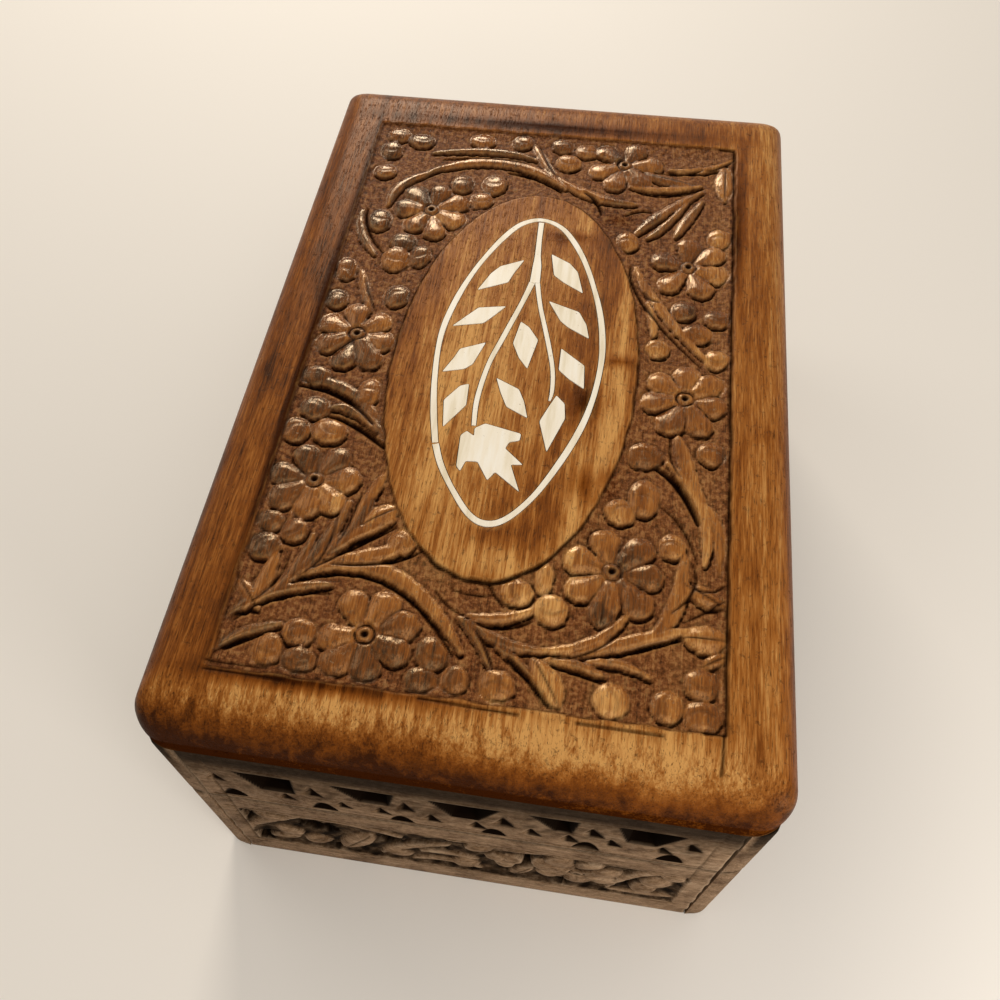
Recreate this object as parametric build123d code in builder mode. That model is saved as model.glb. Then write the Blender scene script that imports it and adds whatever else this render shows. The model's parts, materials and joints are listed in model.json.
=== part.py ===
"""Hinged wooden trinket box with a carved lid, an ivory-coloured inlay and carved walls.

Millimetres. +Z is up and +Y runs along the box. The origin is the middle of the footprint, on
the table. The end wall at -Y faces the viewer, and the two hinges are on the long wall at +X.
"""
import os
from math import atan2, cos, degrees, radians, sin, tan

from build123d import *

os.makedirs("parts", exist_ok=True)

# Overall sizes
box_length = 203.0          # along Y, over the lid board
box_width = 127.0           # along X, over the lid board
box_height = 92.0
parting_height = 47.0       # where the lid lifts off the body
seam = 0.2                  # paper-thin seam where the two rims meet

# Boards
lid_board_thickness = 13.5
side_thickness = 5.5        # long boards, which cover the ends of the short ones
end_thickness = 8.0
overhang = 0.8              # how far the lid board stands out over the walls
wall_corner_radius = 4.0
lid_corner_radius = 8.0
lid_end_round = 12.0        # the worn quarter round at the two short edges
lid_side_round = 7.0        # and at the two long edges
lid_under_round = 1.5
bottom_thickness = 4.0
rebate_width = 2.5          # step inside the walls that the bottom panel sits in
panel_play = 0.15

# Carved field of the lid
field_width = 98.5
field_length = 168.0
field_front_margin = 13.5   # from the front edge of the lid board to the field
field_depth = 2.0
petal_drop = 0.4            # the flowers' tops lie this far under the margin
plateau_width = 57.5
plateau_length = 117.5
plateau_shift = (-0.8, 0.7)  # from the middle of the field
pattern_width = 98.5        # the sheet that the flower places below were drawn on
pattern_length = 168.0

# Inlay
inlay_thickness = 1.5
glue_line = 0.15
ring_width = 1.6
stem_width = 1.25

# Carved bands on the walls
band_margin = 11.5          # plain stretch at each end of a wall
lattice_low = 49.5
lattice_high = 68.5
lattice_pitch = 19.7
end_void_depth = 3.0
side_void_depth = 2.0       # shallower, because the hinge screws and pins run behind it
chip_depth = 1.2
scroll_low = 10.0
scroll_high = 38.0
scroll_pitch = 50.0
scroll_depth = 2.0
scroll_petals = 7
scroll_petal_reach = 7.6
scroll_petal_radius = 3.6
# Buds round each flower of the lower band, from the flower's middle
scroll_buds = [(-22.0, 7.5), (-21.5, -1.0), (-18.0, -9.0), (15.0, 9.0), (20.5, 3.0), (17.0, -8.5)]

# Hinges
stop_angle = 105.0          # the two rims' outer corners meet here and hold the lid
hinge_gap = 1.0             # the hinge-side rims stand apart by the two leaves
hinge_length = 25.0
hinge_inset = 41.5          # from each end of the lid board to the middle of a hinge
barrel_radius = 1.15
pin_radius = 0.6
pin_play = 0.05
pin_head_radius = 0.9
pin_head_height = 0.5
knuckles = 5
knuckle_gap = 0.1
barrel_room = 0.15
leaf_play = 0.1             # between the two closed leaves
leaf_setback = 0.4          # from the inner face of the side board

# Fasteners
screw_count = 3
screw_radius = 0.6
screw_head_radius = 1.2
screw_head_height = 0.6
screw_length = 6.0
screw_play = 0.05
brad_radius = 0.5
brad_head_radius = 0.9
brad_head_height = 0.5
brad_length = 16.0
brad_play = 0.05
lid_brad_length = 20.0
lid_brads_along = 4         # along each long margin of the lid
bottom_brads_along = 4

# Sizes that follow from the ones above
half_length = box_length / 2
half_width = box_width / 2
wall_length = box_length - 2 * overhang
wall_width = box_width - 2 * overhang
wall_face_x = wall_width / 2
wall_face_y = wall_length / 2
inner_x = wall_face_x - side_thickness
inner_y = wall_face_y - end_thickness
board_bottom = box_height - lid_board_thickness
body_rim = parting_height - seam / 2
lid_rim = parting_height + seam / 2
hinge_body_rim = parting_height - hinge_gap / 2
hinge_lid_rim = parting_height + hinge_gap / 2
field_centre_y = -half_length + field_front_margin + field_length / 2
plateau_centre = (plateau_shift[0], field_centre_y + plateau_shift[1])
pivot_x = wall_face_x - hinge_gap / 2 / tan(radians(stop_angle / 2))
leaf_thickness = (hinge_gap - leaf_play) / 2
leaf_inner_x = inner_x + leaf_setback
knuckle_length = (hinge_length - (knuckles - 1) * knuckle_gap) / knuckles
hinge_places = {"front": hinge_inset - half_length, "back": half_length - hinge_inset}

# The flowers and buds of the lid, in mm from the middle of the pattern sheet:
# place, reach of the petals or lobes, turn of the first one in degrees
full_petals = 7
full_flowers = [
    ((-20.5, -73.0), 6.8, 12),
    ((26.0, -52.0), 7.4, 10),
    ((-39.5, -38.0), 7.2, 18),
    ((38.8, -4.8), 7.3, 10),
    ((38.0, 37.8), 7.2, 24),
    ((-29.5, 51.0), 7.4, 5),
]
small_petals = 6
small_flowers = [
    ((-39.5, 5.0), 6.6, 40),
    ((20.0, 75.5), 6.6, 0),
]
trefoil_lobes = 3
trefoils = [
    ((-43.4, -22.0), 3.9, 90),
    ((-44.6, -52.4), 3.6, 130),
    ((44.0, -78.0), 3.5, 60),
    ((11.8, -59.6), 3.6, 90),
    ((-33.6, 34.0), 3.7, 70),
    ((-17.6, 61.0), 4.0, 150),
    ((4.0, 75.5), 3.8, 60),
    ((-39.0, 78.5), 3.8, 20),
]
berries = [
    (-39.5, -78.0), (-33.5, -73.5), (-33.0, -79.6), (-7.6, -75.0), (-8.0, -79.8),
    (6.2, -79.0), (17.2, -78.0), (28.2, -79.0), (45.0, -63.2), (-17.6, -50.0),
    (-23.0, -44.8), (37.4, -44.6), (27.0, -36.8), (31.2, -29.8), (31.2, -21.4),
    (45.2, -19.0), (-31.8, 20.0), (-46.0, 17.2), (-45.4, 27.4), (32.0, 10.2),
    (45.0, 8.8), (41.4, 15.6), (45.4, 22.4), (45.2, 48.4), (22.6, 44.6), (45.2, 68.0),
    (-9.4, 80.0), (-44.6, 71.0), (-44.6, 63.4),
]
stems = [
    ((-48.0, -80.0), (-33.0, -61.4), (-8.0, -66.0)),
    ((-48.5, -74.0), (-41.0, -66.6), (-30.0, -64.4)),
    ((-35.0, -61.0), (-26.0, -53.0), (-19.0, -47.6)),
    ((-2.0, -68.0), (14.0, -71.6), (33.0, -58.0)),
    ((14.0, -71.6), (30.0, -67.0), (41.5, -63.6)),
    ((42.0, -58.0), (43.0, -45.0), (34.0, -25.0)),
    ((-25.0, -28.6), (-34.0, -20.0), (-46.0, -12.4)),
    ((44.0, 6.0), (35.0, 16.0), (27.0, 27.0)),
    ((-42.0, 44.0), (-43.6, 32.0), (-38.0, 18.0)),
    ((4.0, 62.6), (-12.0, 70.6), (-34.0, 68.0)),
    ((26.0, 62.0), (33.0, 57.0), (36.0, 48.0)),
]
petal_radius = 3.5
flower_boss_radius = 2.3
trefoil_lobe_radius = 3.2
berry_radius = 2.9
stem_rib_width = 2.0

# The inlay, in mm from the middle of the plateau. A leaf is a lozenge: its two tips and its width
inlay_leaves = {
    "left_1": ((-12.2, 22.0), (-1.8, 33.6), 5.6),
    "left_2": ((-16.2, 9.2), (-4.2, 16.8), 4.6),
    "left_3": ((-16.2, -5.4), (-7.2, 4.8), 5.0),
    "left_4": ((-13.2, -21.4), (-9.6, -8.4), 5.2),
    "right_1": ((13.8, 24.4), (4.6, 36.4), 5.2),
    "right_2": ((16.4, 9.6), (5.8, 20.2), 5.0),
    "right_3": ((16.8, -6.2), (10.4, 5.4), 4.8),
    "middle_1": ((3.2, -1.8), (0.2, 12.4), 5.0),
    "middle_2": ((5.0, -16.2), (-3.2, -5.4), 4.4),
    "tip": ((10.4, -24.8), (11.0, -8.8), 5.4),
}
plane_leaf = [
    (-6.2, -20.4), (-3.8, -19.0), (4.4, -20.8), (4.4, -22.8), (2.0, -23.4), (1.6, -25.0),
    (5.8, -29.0), (3.0, -29.4), (5.8, -36.2), (0.0, -31.8), (-1.4, -34.2), (-4.2, -29.6),
    (-6.8, -29.8), (-7.6, -32.6), (-8.6, -31.4), (-9.0, -23.0), (-7.8, -21.6), (-6.2, -22.6),
]
ring_reach = (20.0, 47.5)    # half width and half length of the ring's outer edge
ring_shift = (0.9, 2.0)
ring_end_half = (6.5, 4.0)   # where the ring's long arcs meet its end arcs, from the tips
stem_join = (1.9, 26.5)      # where the two side stems leave the main one
swelling_width = 2.6
swelling_length = 4.0
left_stem_end = (-6.6, -20.0)
left_stem_bow = (-4.6, 4.0)
right_stem_end = (9.7, -7.6)
right_stem_bow = (6.6, 7.4)

parts = {}


def keep(name, builder):
    """Give a finished piece its name."""
    builder.part.label = name
    parts[name] = builder.part


def wall_plane(side):
    """The outer face of one wall, with the sketch's y axis up and its origin on the table."""
    normals = {"front": (0, -1, 0), "back": (0, 1, 0), "left": (-1, 0, 0), "right": (1, 0, 0)}
    normal = Vector(*normals[side])
    reach = wall_face_y if side in ("front", "back") else wall_face_x
    return Plane(origin=normal * reach, x_dir=Vector(0, 0, 1).cross(normal), z_dir=normal)


def cell_places(length, pitch):
    """Middles of the whole cells that fit a length, and the pitch that fills it."""
    count = max(1, round(length / pitch))
    step = length / count
    return [(number + 0.5) * step - length / 2 for number in range(count)], step


# Brads and screws. Each stands on the origin with its tip down, and serves as its own drill
def brad(length, play=0.0):
    """A wire nail, its head's top on the origin plane."""
    with BuildPart() as nail:
        with BuildSketch(Plane.XZ):
            with BuildLine():
                Polyline(
                    (0, 0),
                    (brad_head_radius + play, 0),
                    (brad_head_radius + play, -brad_head_height - play),
                    (brad_radius + play, -brad_head_height - play),
                    (brad_radius + play, -length + 2 * brad_radius),
                    (0, -length - play),
                    close=True,
                )
            make_face()
        revolve(axis=Axis.Z)
    return nail.part


def pin_nail(length, play=0.0):
    """A headless panel pin, its top on the origin plane."""
    with BuildPart() as nail:
        Cylinder(brad_radius + play, length + play, align=(Align.CENTER, Align.CENTER, Align.MAX))
    return nail.part


def screw(play=0.0):
    """A small countersunk wood screw, the top of its head on the origin plane."""
    with BuildPart() as fastener:
        with BuildSketch(Plane.XZ):
            with BuildLine():
                Polyline(
                    (0, 0),
                    (screw_head_radius + play, 0),
                    (screw_radius + play, -screw_head_height - play),
                    (screw_radius + play, -screw_length + 2 * screw_radius),
                    (0, -screw_length - play),
                    close=True,
                )
            make_face()
        revolve(axis=Axis.Z)
    return fastener.part


def place_all(planes, shape):
    """One copy of a shape on each plane."""
    return [plane.location * shape for plane in planes]


def corner_brad_planes(low, high):
    """Heads of the brads that hold the long boards to the end boards."""
    planes = []
    inset_y = wall_face_y - end_thickness / 2
    rise = (high - low) / 4
    for side in (-1, 1):
        for end in (-1, 1):
            for height in (low + rise, high - rise):
                origin = (side * wall_face_x, end * inset_y, height)
                planes.append(Plane(origin=origin, x_dir=(0, 1, 0), z_dir=(side, 0, 0)))
    return planes


def lid_brad_planes():
    """Tops of the headless pins that hold the lid board to its walls."""
    planes = []
    top = board_bottom + lid_board_thickness * 2 / 3
    x = wall_face_x - side_thickness / 2
    y = wall_face_y - end_thickness / 2
    reach = y - end_thickness
    for number in range(lid_brads_along):
        along = -reach + 2 * reach * number / (lid_brads_along - 1)
        planes.append(Plane(origin=(x, along, top)))
        planes.append(Plane(origin=(-x, along, top)))
    for along in (-inner_x / 2, inner_x / 2):
        planes.append(Plane(origin=(along, y, top)))
        planes.append(Plane(origin=(along, -y, top)))
    return planes


def bottom_brad_planes():
    """Heads of the brads that hold the bottom panel up in its rebate."""
    planes = []
    x = inner_x + rebate_width / 2
    y = inner_y + rebate_width / 2
    down = {"x_dir": (1, 0, 0), "z_dir": (0, 0, -1)}
    reach = inner_y - end_thickness
    for number in range(bottom_brads_along):
        along = -reach + 2 * reach * number / (bottom_brads_along - 1)
        planes.append(Plane(origin=(x, along, 0), **down))
        planes.append(Plane(origin=(-x, along, 0), **down))
    for along in (-inner_x / 2, inner_x / 2):
        planes.append(Plane(origin=(along, y, 0), **down))
        planes.append(Plane(origin=(along, -y, 0), **down))
    return planes


def hinge_screw_planes(y_middle, lid_side):
    """Heads of one leaf's screws, on the face of the leaf that looks at the other leaf."""
    way = 1 if lid_side else -1
    x = (leaf_inner_x + pivot_x - barrel_radius) / 2
    z = parting_height + way * leaf_play / 2
    step = hinge_length / screw_count
    places = [y_middle + (number - (screw_count - 1) / 2) * step for number in range(screw_count)]
    return [Plane(origin=(x, y, z), x_dir=(1, 0, 0), z_dir=(0, 0, -way)) for y in places]


body_corner_brads = corner_brad_planes(bottom_thickness, hinge_body_rim)
lid_corner_brads = corner_brad_planes(hinge_lid_rim, board_bottom)
lid_top_brads = lid_brad_planes()
bottom_brads = bottom_brad_planes()
body_screw_planes = [p for y in hinge_places.values() for p in hinge_screw_planes(y, False)]
lid_screw_planes = [p for y in hinge_places.values() for p in hinge_screw_planes(y, True)]


# Carving on the walls
def lattice_voids(side, length):
    """The deep cuts of the upper band: hanging troughs, and arches between them."""
    places, step = cell_places(length, lattice_pitch)
    rise = lattice_high - lattice_low
    edges = [places[0] - step / 2] + [place + step / 2 for place in places]
    with BuildSketch(wall_plane(side)) as cuts:
        for place in places:
            with BuildLine():
                Polyline(
                    (place - 0.32 * step, lattice_high),
                    (place + 0.32 * step, lattice_high),
                    (place + 0.18 * step, lattice_high - 0.45 * rise),
                    (place - 0.18 * step, lattice_high - 0.45 * rise),
                    close=True,
                )
            make_face()
        for edge in edges:
            with BuildLine():
                Polyline(
                    (edge - 0.17 * step, lattice_low),
                    (edge + 0.17 * step, lattice_low),
                    (edge, lattice_low + 0.27 * rise),
                    close=True,
                )
            make_face()
    return cuts.sketch


def lattice_chips(side, length):
    """The shallow triangular chips round the deep cuts."""
    places, step = cell_places(length, lattice_pitch)
    rise = lattice_high - lattice_low
    edges = [places[0] - step / 2] + [place + step / 2 for place in places]
    low_chips = [(place + way * 0.22 * step, lattice_low + 0.18 * rise) for place in places
                 for way in (-1, 1)]
    high_chips = [(edge, lattice_low + 0.57 * rise) for edge in edges]
    with BuildSketch(wall_plane(side)) as cuts:
        for x, z in low_chips + high_chips:
            with BuildLine():
                Polyline(
                    (x - 0.09 * step, z),
                    (x + 0.09 * step, z),
                    (x, z + 0.33 * rise),
                    close=True,
                )
            make_face()
    return cuts.sketch


def scroll_ground(side, length):
    """The sunk ground of the lower band, with its flowers, buds and leaves left standing."""
    places, step = cell_places(length, scroll_pitch)
    middle = (scroll_low + scroll_high) / 2
    stretch = step / scroll_pitch
    bud = berry_radius * stretch
    with BuildSketch(wall_plane(side)) as ground:
        with Locations((0, middle)):
            Rectangle(length, scroll_high - scroll_low)
        for place in places:
            with Locations((place, middle)):
                Circle(flower_boss_radius * stretch, mode=Mode.SUBTRACT)
                with PolarLocations(scroll_petal_reach * stretch, scroll_petals, start_angle=-90):
                    Circle(scroll_petal_radius * stretch, mode=Mode.SUBTRACT)
            buds = [(place + x * stretch, middle + y) for x, y in scroll_buds]
            with Locations(*buds):
                Circle(bud, mode=Mode.SUBTRACT)
    return ground.sketch


def wall_board(side, low, high, upper):
    """One wall board. The long ones cover the ends of the short ones."""
    long_side = side in ("left", "right")
    if long_side:
        size = (side_thickness, wall_length)
        centre = (wall_face_x - side_thickness / 2) * (1 if side == "right" else -1)
        centre = (centre, 0)
        carved = wall_length - 2 * band_margin
    else:
        size = (2 * inner_x, end_thickness)
        centre = (0, (wall_face_y - end_thickness / 2) * (1 if side == "back" else -1))
        carved = wall_width - 2 * band_margin
    rebate = bottom_thickness + panel_play
    with BuildPart() as board:
        with BuildSketch(Plane.XY.offset(low)):
            with Locations(centre):
                Rectangle(*size)
        extrude(amount=high - low)
        if long_side:
            outward = 1 if side == "right" else -1
            corners = board.edges().filter_by(Axis.Z).sort_by(Axis.X)
            outer = corners[-2:] if outward > 0 else corners[:2]
            fillet(outer, radius=min(wall_corner_radius, side_thickness - 1))
        if upper:
            void_depth = side_void_depth if long_side else end_void_depth
            extrude(lattice_voids(side, carved), amount=-void_depth, mode=Mode.SUBTRACT)
            extrude(lattice_chips(side, carved), amount=-chip_depth, mode=Mode.SUBTRACT)
        else:
            extrude(scroll_ground(side, carved), amount=-scroll_depth, mode=Mode.SUBTRACT)
            step_x = 2 * (inner_x + rebate_width)
            step_y = 2 * (inner_y + rebate_width)
            Box(step_x, step_y, 2 * rebate, mode=Mode.SUBTRACT)
        corner_planes = lid_corner_brads if upper else body_corner_brads
        add(place_all(corner_planes, brad(brad_length, brad_play)), mode=Mode.SUBTRACT)
        if upper:
            add(place_all(lid_top_brads, pin_nail(lid_brad_length, brad_play)), mode=Mode.SUBTRACT)
        else:
            add(place_all(bottom_brads, brad(brad_length, brad_play)), mode=Mode.SUBTRACT)
        if side == "right":
            for y in hinge_places.values():
                with Locations((pivot_x, y, parting_height)):
                    Cylinder(
                        barrel_radius + barrel_room,
                        hinge_length + 4 * pin_head_height,
                        rotation=(90, 0, 0),
                        mode=Mode.SUBTRACT,
                    )
            planes = lid_screw_planes if upper else body_screw_planes
            add(place_all(planes, screw(screw_play)), mode=Mode.SUBTRACT)
    return board


for side in ("front", "back", "left", "right"):
    body_top = hinge_body_rim if side == "right" else body_rim
    lid_bottom = hinge_lid_rim if side == "right" else lid_rim
    keep(f"body_{side}_board", wall_board(side, 0, body_top, upper=False))
    keep(f"lid_{side}_board", wall_board(side, lid_bottom, board_bottom, upper=True))

# Bottom panel
with BuildPart() as bottom_panel:
    with BuildSketch():
        Rectangle(
            2 * (inner_x + rebate_width - panel_play),
            2 * (inner_y + rebate_width - panel_play),
        )
    extrude(amount=bottom_thickness)
    add(place_all(bottom_brads, brad(brad_length, brad_play)), mode=Mode.SUBTRACT)
keep("bottom_panel", bottom_panel)


# Inlay outlines, each a closed face on the top of the lid
def on_plateau(point):
    """A place of the inlay list on the lid."""
    return (plateau_centre[0] + point[0], plateau_centre[1] + point[1])


def ring_outline(inset):
    """The pointed oval, made of two long arcs and two short ones, drawn in by an inset."""
    reach_x = ring_reach[0] - inset
    reach_y = ring_reach[1] - inset
    join_x = ring_end_half[0] - inset / 2
    join_y = reach_y - ring_end_half[1]
    cx, cy = on_plateau(ring_shift)
    with BuildSketch(Plane.XY.offset(box_height)) as outline:
        with BuildLine():
            ThreePointArc((cx - join_x, cy - join_y), (cx - reach_x, cy), (cx - join_x, cy + join_y))
            ThreePointArc((cx - join_x, cy + join_y), (cx, cy + reach_y), (cx + join_x, cy + join_y))
            ThreePointArc((cx + join_x, cy + join_y), (cx + reach_x, cy), (cx + join_x, cy - join_y))
            ThreePointArc((cx + join_x, cy - join_y), (cx, cy - reach_y), (cx - join_x, cy - join_y))
        make_face()
    return outline.sketch


def lozenge(low_tip, high_tip, width):
    """A leaf of four straight edges, a little fuller towards its upper tip."""
    length = Vector(high_tip[0] - low_tip[0], high_tip[1] - low_tip[1]).length
    angle = degrees(atan2(high_tip[1] - low_tip[1], high_tip[0] - low_tip[0]))
    start = on_plateau(low_tip)
    with BuildSketch(Plane.XY.offset(box_height)) as outline:
        with Locations(Location((start[0], start[1], 0), (0, 0, angle))):
            Polygon(
                (0, 0), (0.42 * length, -width / 2), (length, 0), (0.58 * length, width / 2),
                align=None,
            )
    return outline.sketch


def bent_strip(start, bow, end, width):
    """A stem of steady width along an arc through three points."""
    with BuildSketch(Plane.XY.offset(box_height)) as outline:
        with BuildLine() as path:
            ThreePointArc(on_plateau(start), on_plateau(bow), on_plateau(end))
        trace(path.line, line_width=width)
    return outline.sketch


ring_top = (ring_shift[0], ring_shift[1] + ring_reach[1] - ring_width)
with BuildSketch(Plane.XY.offset(box_height)) as ring_face:
    add(ring_outline(0))
    add(ring_outline(ring_width), mode=Mode.SUBTRACT)

with BuildSketch(Plane.XY.offset(box_height)) as main_stem_face:
    with BuildLine():
        Polyline(
            on_plateau((ring_top[0] - stem_width / 2, ring_top[1] - glue_line)),
            on_plateau((stem_join[0] - swelling_width / 2, stem_join[1] + swelling_length)),
            on_plateau((stem_join[0] - swelling_width / 2, stem_join[1])),
            on_plateau((stem_join[0] + swelling_width / 2, stem_join[1])),
            on_plateau((stem_join[0] + swelling_width / 2, stem_join[1] + swelling_length)),
            on_plateau((ring_top[0] + stem_width / 2, ring_top[1] - glue_line)),
            close=True,
        )
    make_face()

side_step = stem_width / 2 + glue_line
left_start = (stem_join[0] - side_step, stem_join[1] - 3 * glue_line)
right_start = (stem_join[0] + side_step, stem_join[1] - 3 * glue_line)
with BuildSketch(Plane.XY.offset(box_height)) as plane_leaf_face:
    with BuildLine():
        Polyline(*[on_plateau(point) for point in plane_leaf], close=True)
    make_face()

inlay_faces = {
    "inlay_ring": ring_face.sketch,
    "inlay_main_stem": main_stem_face.sketch,
    "inlay_left_stem": bent_strip(left_start, left_stem_bow, left_stem_end, stem_width),
    "inlay_right_stem": bent_strip(right_start, right_stem_bow, right_stem_end, stem_width),
    "inlay_plane_leaf": plane_leaf_face.sketch,
}
for name, leaf in inlay_leaves.items():
    inlay_faces[f"inlay_leaf_{name}"] = lozenge(*leaf)

for name, face in inlay_faces.items():
    with BuildPart() as inlay:
        extrude(face, amount=-inlay_thickness)
    keep(name, inlay)


# Lid board
def on_field(point):
    """A place of the pattern sheet on the carved field."""
    x = point[0] * field_width / pattern_width
    y = point[1] * field_length / pattern_length
    return (x, field_centre_y + y)


def around(centre, reach, turn, count):
    """Middles of the petals or lobes that stand round a centre on the field."""
    x, y = on_field(centre)
    angles = [radians(turn + 360 * number / count) for number in range(count)]
    return [(x + reach * cos(angle), y + reach * sin(angle)) for angle in angles]


with BuildSketch(Plane.XY.offset(box_height)) as hollow_face:
    with Locations((0, field_centre_y)):
        Rectangle(field_width, field_length)
    with Locations(plateau_centre):
        Ellipse(plateau_width / 2, plateau_length / 2, mode=Mode.SUBTRACT)

with BuildSketch(Plane.XY.offset(box_height - petal_drop)) as ground_face:
    add(hollow_face.sketch_local)
    petals = [spot for flower in full_flowers for spot in around(*flower, full_petals)]
    petals += [spot for flower in small_flowers for spot in around(*flower, small_petals)]
    lobes = [spot for trefoil in trefoils for spot in around(*trefoil, trefoil_lobes)]
    rounds = {
        petal_radius: petals,
        flower_boss_radius: [on_field(flower[0]) for flower in full_flowers + small_flowers],
        trefoil_lobe_radius: lobes,
        berry_radius: [on_field(place) for place in berries],
    }
    for radius, places in rounds.items():
        with Locations(*places):
            Circle(radius, mode=Mode.SUBTRACT)
    with BuildLine() as ribs:
        for start, bow, end in stems:
            ThreePointArc(on_field(start), on_field(bow), on_field(end))
    trace(ribs.line, line_width=stem_rib_width, mode=Mode.SUBTRACT)

with BuildSketch(Plane.XY.offset(box_height)) as pocket_faces:
    for face in inlay_faces.values():
        add(offset(face, amount=glue_line, kind=Kind.INTERSECTION, mode=Mode.PRIVATE))

with BuildPart() as lid_board:
    with BuildSketch(Plane.XY.offset(board_bottom)):
        RectangleRounded(box_width, box_length, lid_corner_radius)
    extrude(amount=lid_board_thickness)
    fillet(lid_board.faces().sort_by(Axis.Z)[0].edges(), radius=lid_under_round)
    with BuildSketch(Plane.YZ.offset(-half_width)):
        with BuildLine():
            Polyline(
                (-half_length, board_bottom),
                (half_length, board_bottom),
                (half_length, box_height - lid_end_round),
            )
            RadiusArc((half_length, box_height - lid_end_round),
                      (half_length - lid_end_round, box_height), -lid_end_round)
            Line((half_length - lid_end_round, box_height), (-half_length + lid_end_round, box_height))
            RadiusArc((-half_length + lid_end_round, box_height),
                      (-half_length, box_height - lid_end_round), -lid_end_round)
            Line((-half_length, box_height - lid_end_round), (-half_length, board_bottom))
        make_face()
    extrude(amount=box_width, mode=Mode.INTERSECT)
    with BuildSketch(Plane.XZ.offset(-half_length)):
        with BuildLine():
            Polyline(
                (half_width, board_bottom),
                (-half_width, board_bottom),
                (-half_width, box_height - lid_side_round),
            )
            RadiusArc((-half_width, box_height - lid_side_round),
                      (-half_width + lid_side_round, box_height), lid_side_round)
            Line((-half_width + lid_side_round, box_height), (half_width - lid_side_round, box_height))
            RadiusArc((half_width - lid_side_round, box_height),
                      (half_width, box_height - lid_side_round), lid_side_round)
            Line((half_width, box_height - lid_side_round), (half_width, board_bottom))
        make_face()
    extrude(amount=box_length, mode=Mode.INTERSECT)
    extrude(hollow_face.sketch, amount=-petal_drop, mode=Mode.SUBTRACT)
    extrude(ground_face.sketch, amount=-(field_depth - petal_drop), mode=Mode.SUBTRACT)
    extrude(pocket_faces.sketch, amount=-inlay_thickness, mode=Mode.SUBTRACT)
    add(place_all(lid_top_brads, pin_nail(lid_brad_length, brad_play)), mode=Mode.SUBTRACT)
keep("lid_top_board", lid_board)


# Hinges
def hinge_leaf(y_middle, lid_side):
    """A brass leaf with its share of the knuckles. The body leaf has the end knuckles."""
    way = 1 if lid_side else -1
    step = knuckle_length + knuckle_gap
    places = [y_middle + (number - (knuckles - 1) / 2) * step for number in range(knuckles)]
    own = places[1::2] if lid_side else places[0::2]
    other = places[0::2] if lid_side else places[1::2]
    plate_width = pivot_x - (barrel_radius + pin_radius + pin_play) / 2 - leaf_inner_x
    with BuildPart() as leaf:
        with Locations((leaf_inner_x, y_middle, parting_height + way * leaf_play / 2)):
            Box(
                plate_width, hinge_length, leaf_thickness,
                align=(Align.MIN, Align.CENTER, Align.MIN if lid_side else Align.MAX),
            )
        with Locations(*[(pivot_x, y, parting_height) for y in other]):
            Cylinder(barrel_radius + barrel_room, step + knuckle_gap, rotation=(90, 0, 0),
                     mode=Mode.SUBTRACT)
        with Locations(*[(pivot_x, y, parting_height) for y in own]):
            Cylinder(barrel_radius, knuckle_length, rotation=(90, 0, 0))
        with Locations((pivot_x, y_middle, parting_height)):
            Cylinder(pin_radius + pin_play, hinge_length, rotation=(90, 0, 0), mode=Mode.SUBTRACT)
        planes = hinge_screw_planes(y_middle, lid_side)
        add(place_all(planes, screw(screw_play)), mode=Mode.SUBTRACT)
    return leaf


for end, y_middle in hinge_places.items():
    keep(f"hinge_{end}_body_leaf", hinge_leaf(y_middle, lid_side=False))
    keep(f"hinge_{end}_lid_leaf", hinge_leaf(y_middle, lid_side=True))
    with BuildPart() as hinge_pin:
        with Locations((pivot_x, y_middle, parting_height)):
            Cylinder(pin_radius, hinge_length + 2 * pin_play, rotation=(90, 0, 0))
        for way in (-1, 1):
            head_y = y_middle + way * (hinge_length / 2 + pin_play + pin_head_height / 2)
            with Locations((pivot_x, head_y, parting_height)):
                Cylinder(pin_head_radius, pin_head_height, rotation=(90, 0, 0))
    keep(f"hinge_{end}_pin", hinge_pin)
    for owner, lid_side in (("body", False), ("lid", True)):
        with BuildPart() as hinge_screws:
            add(place_all(hinge_screw_planes(y_middle, lid_side), screw()))
        keep(f"hinge_{end}_{owner}_screws", hinge_screws)

# Nails, each group one node of separate solids
nail_groups = {
    "body_corner_brads": place_all(body_corner_brads, brad(brad_length)),
    "lid_corner_brads": place_all(lid_corner_brads, brad(brad_length)),
    "bottom_brads": place_all(bottom_brads, brad(brad_length)),
    "lid_top_brads": place_all(lid_top_brads, pin_nail(lid_brad_length)),
}
for name, nails in nail_groups.items():
    with BuildPart() as nail_group:
        add(nails)
    keep(name, nail_group)

for name, piece in parts.items():
    export_step(piece, f"parts/{name}.step")
print(len(parts), "pieces, pivot at x", round(pivot_x, 3))
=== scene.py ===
# %% [markdown]
# # A carved keepsake box with a white inlay
# The box is small: 203 mm long, 127 mm wide and 92 mm high. Its lid is a thick plank of brown hardwood,
# worn round at the edges. A carver sank the middle of the plank with a few gouges, and left flowers,
# buds and stems standing. White strips and leaves are let into an oval that stayed uncut.
#
# The pieces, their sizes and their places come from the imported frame. The hinges, screws, nails and the
# bottom panel keep the shapes that they have there. This script gives the boards and the inlay their
# carved and worn surfaces, and every piece its finish.

# %% Load the frame
import json
from math import cos, hypot, pi, radians, sin

import bmesh
import bpy
import numpy as np
from mathutils import Matrix, Vector


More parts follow.
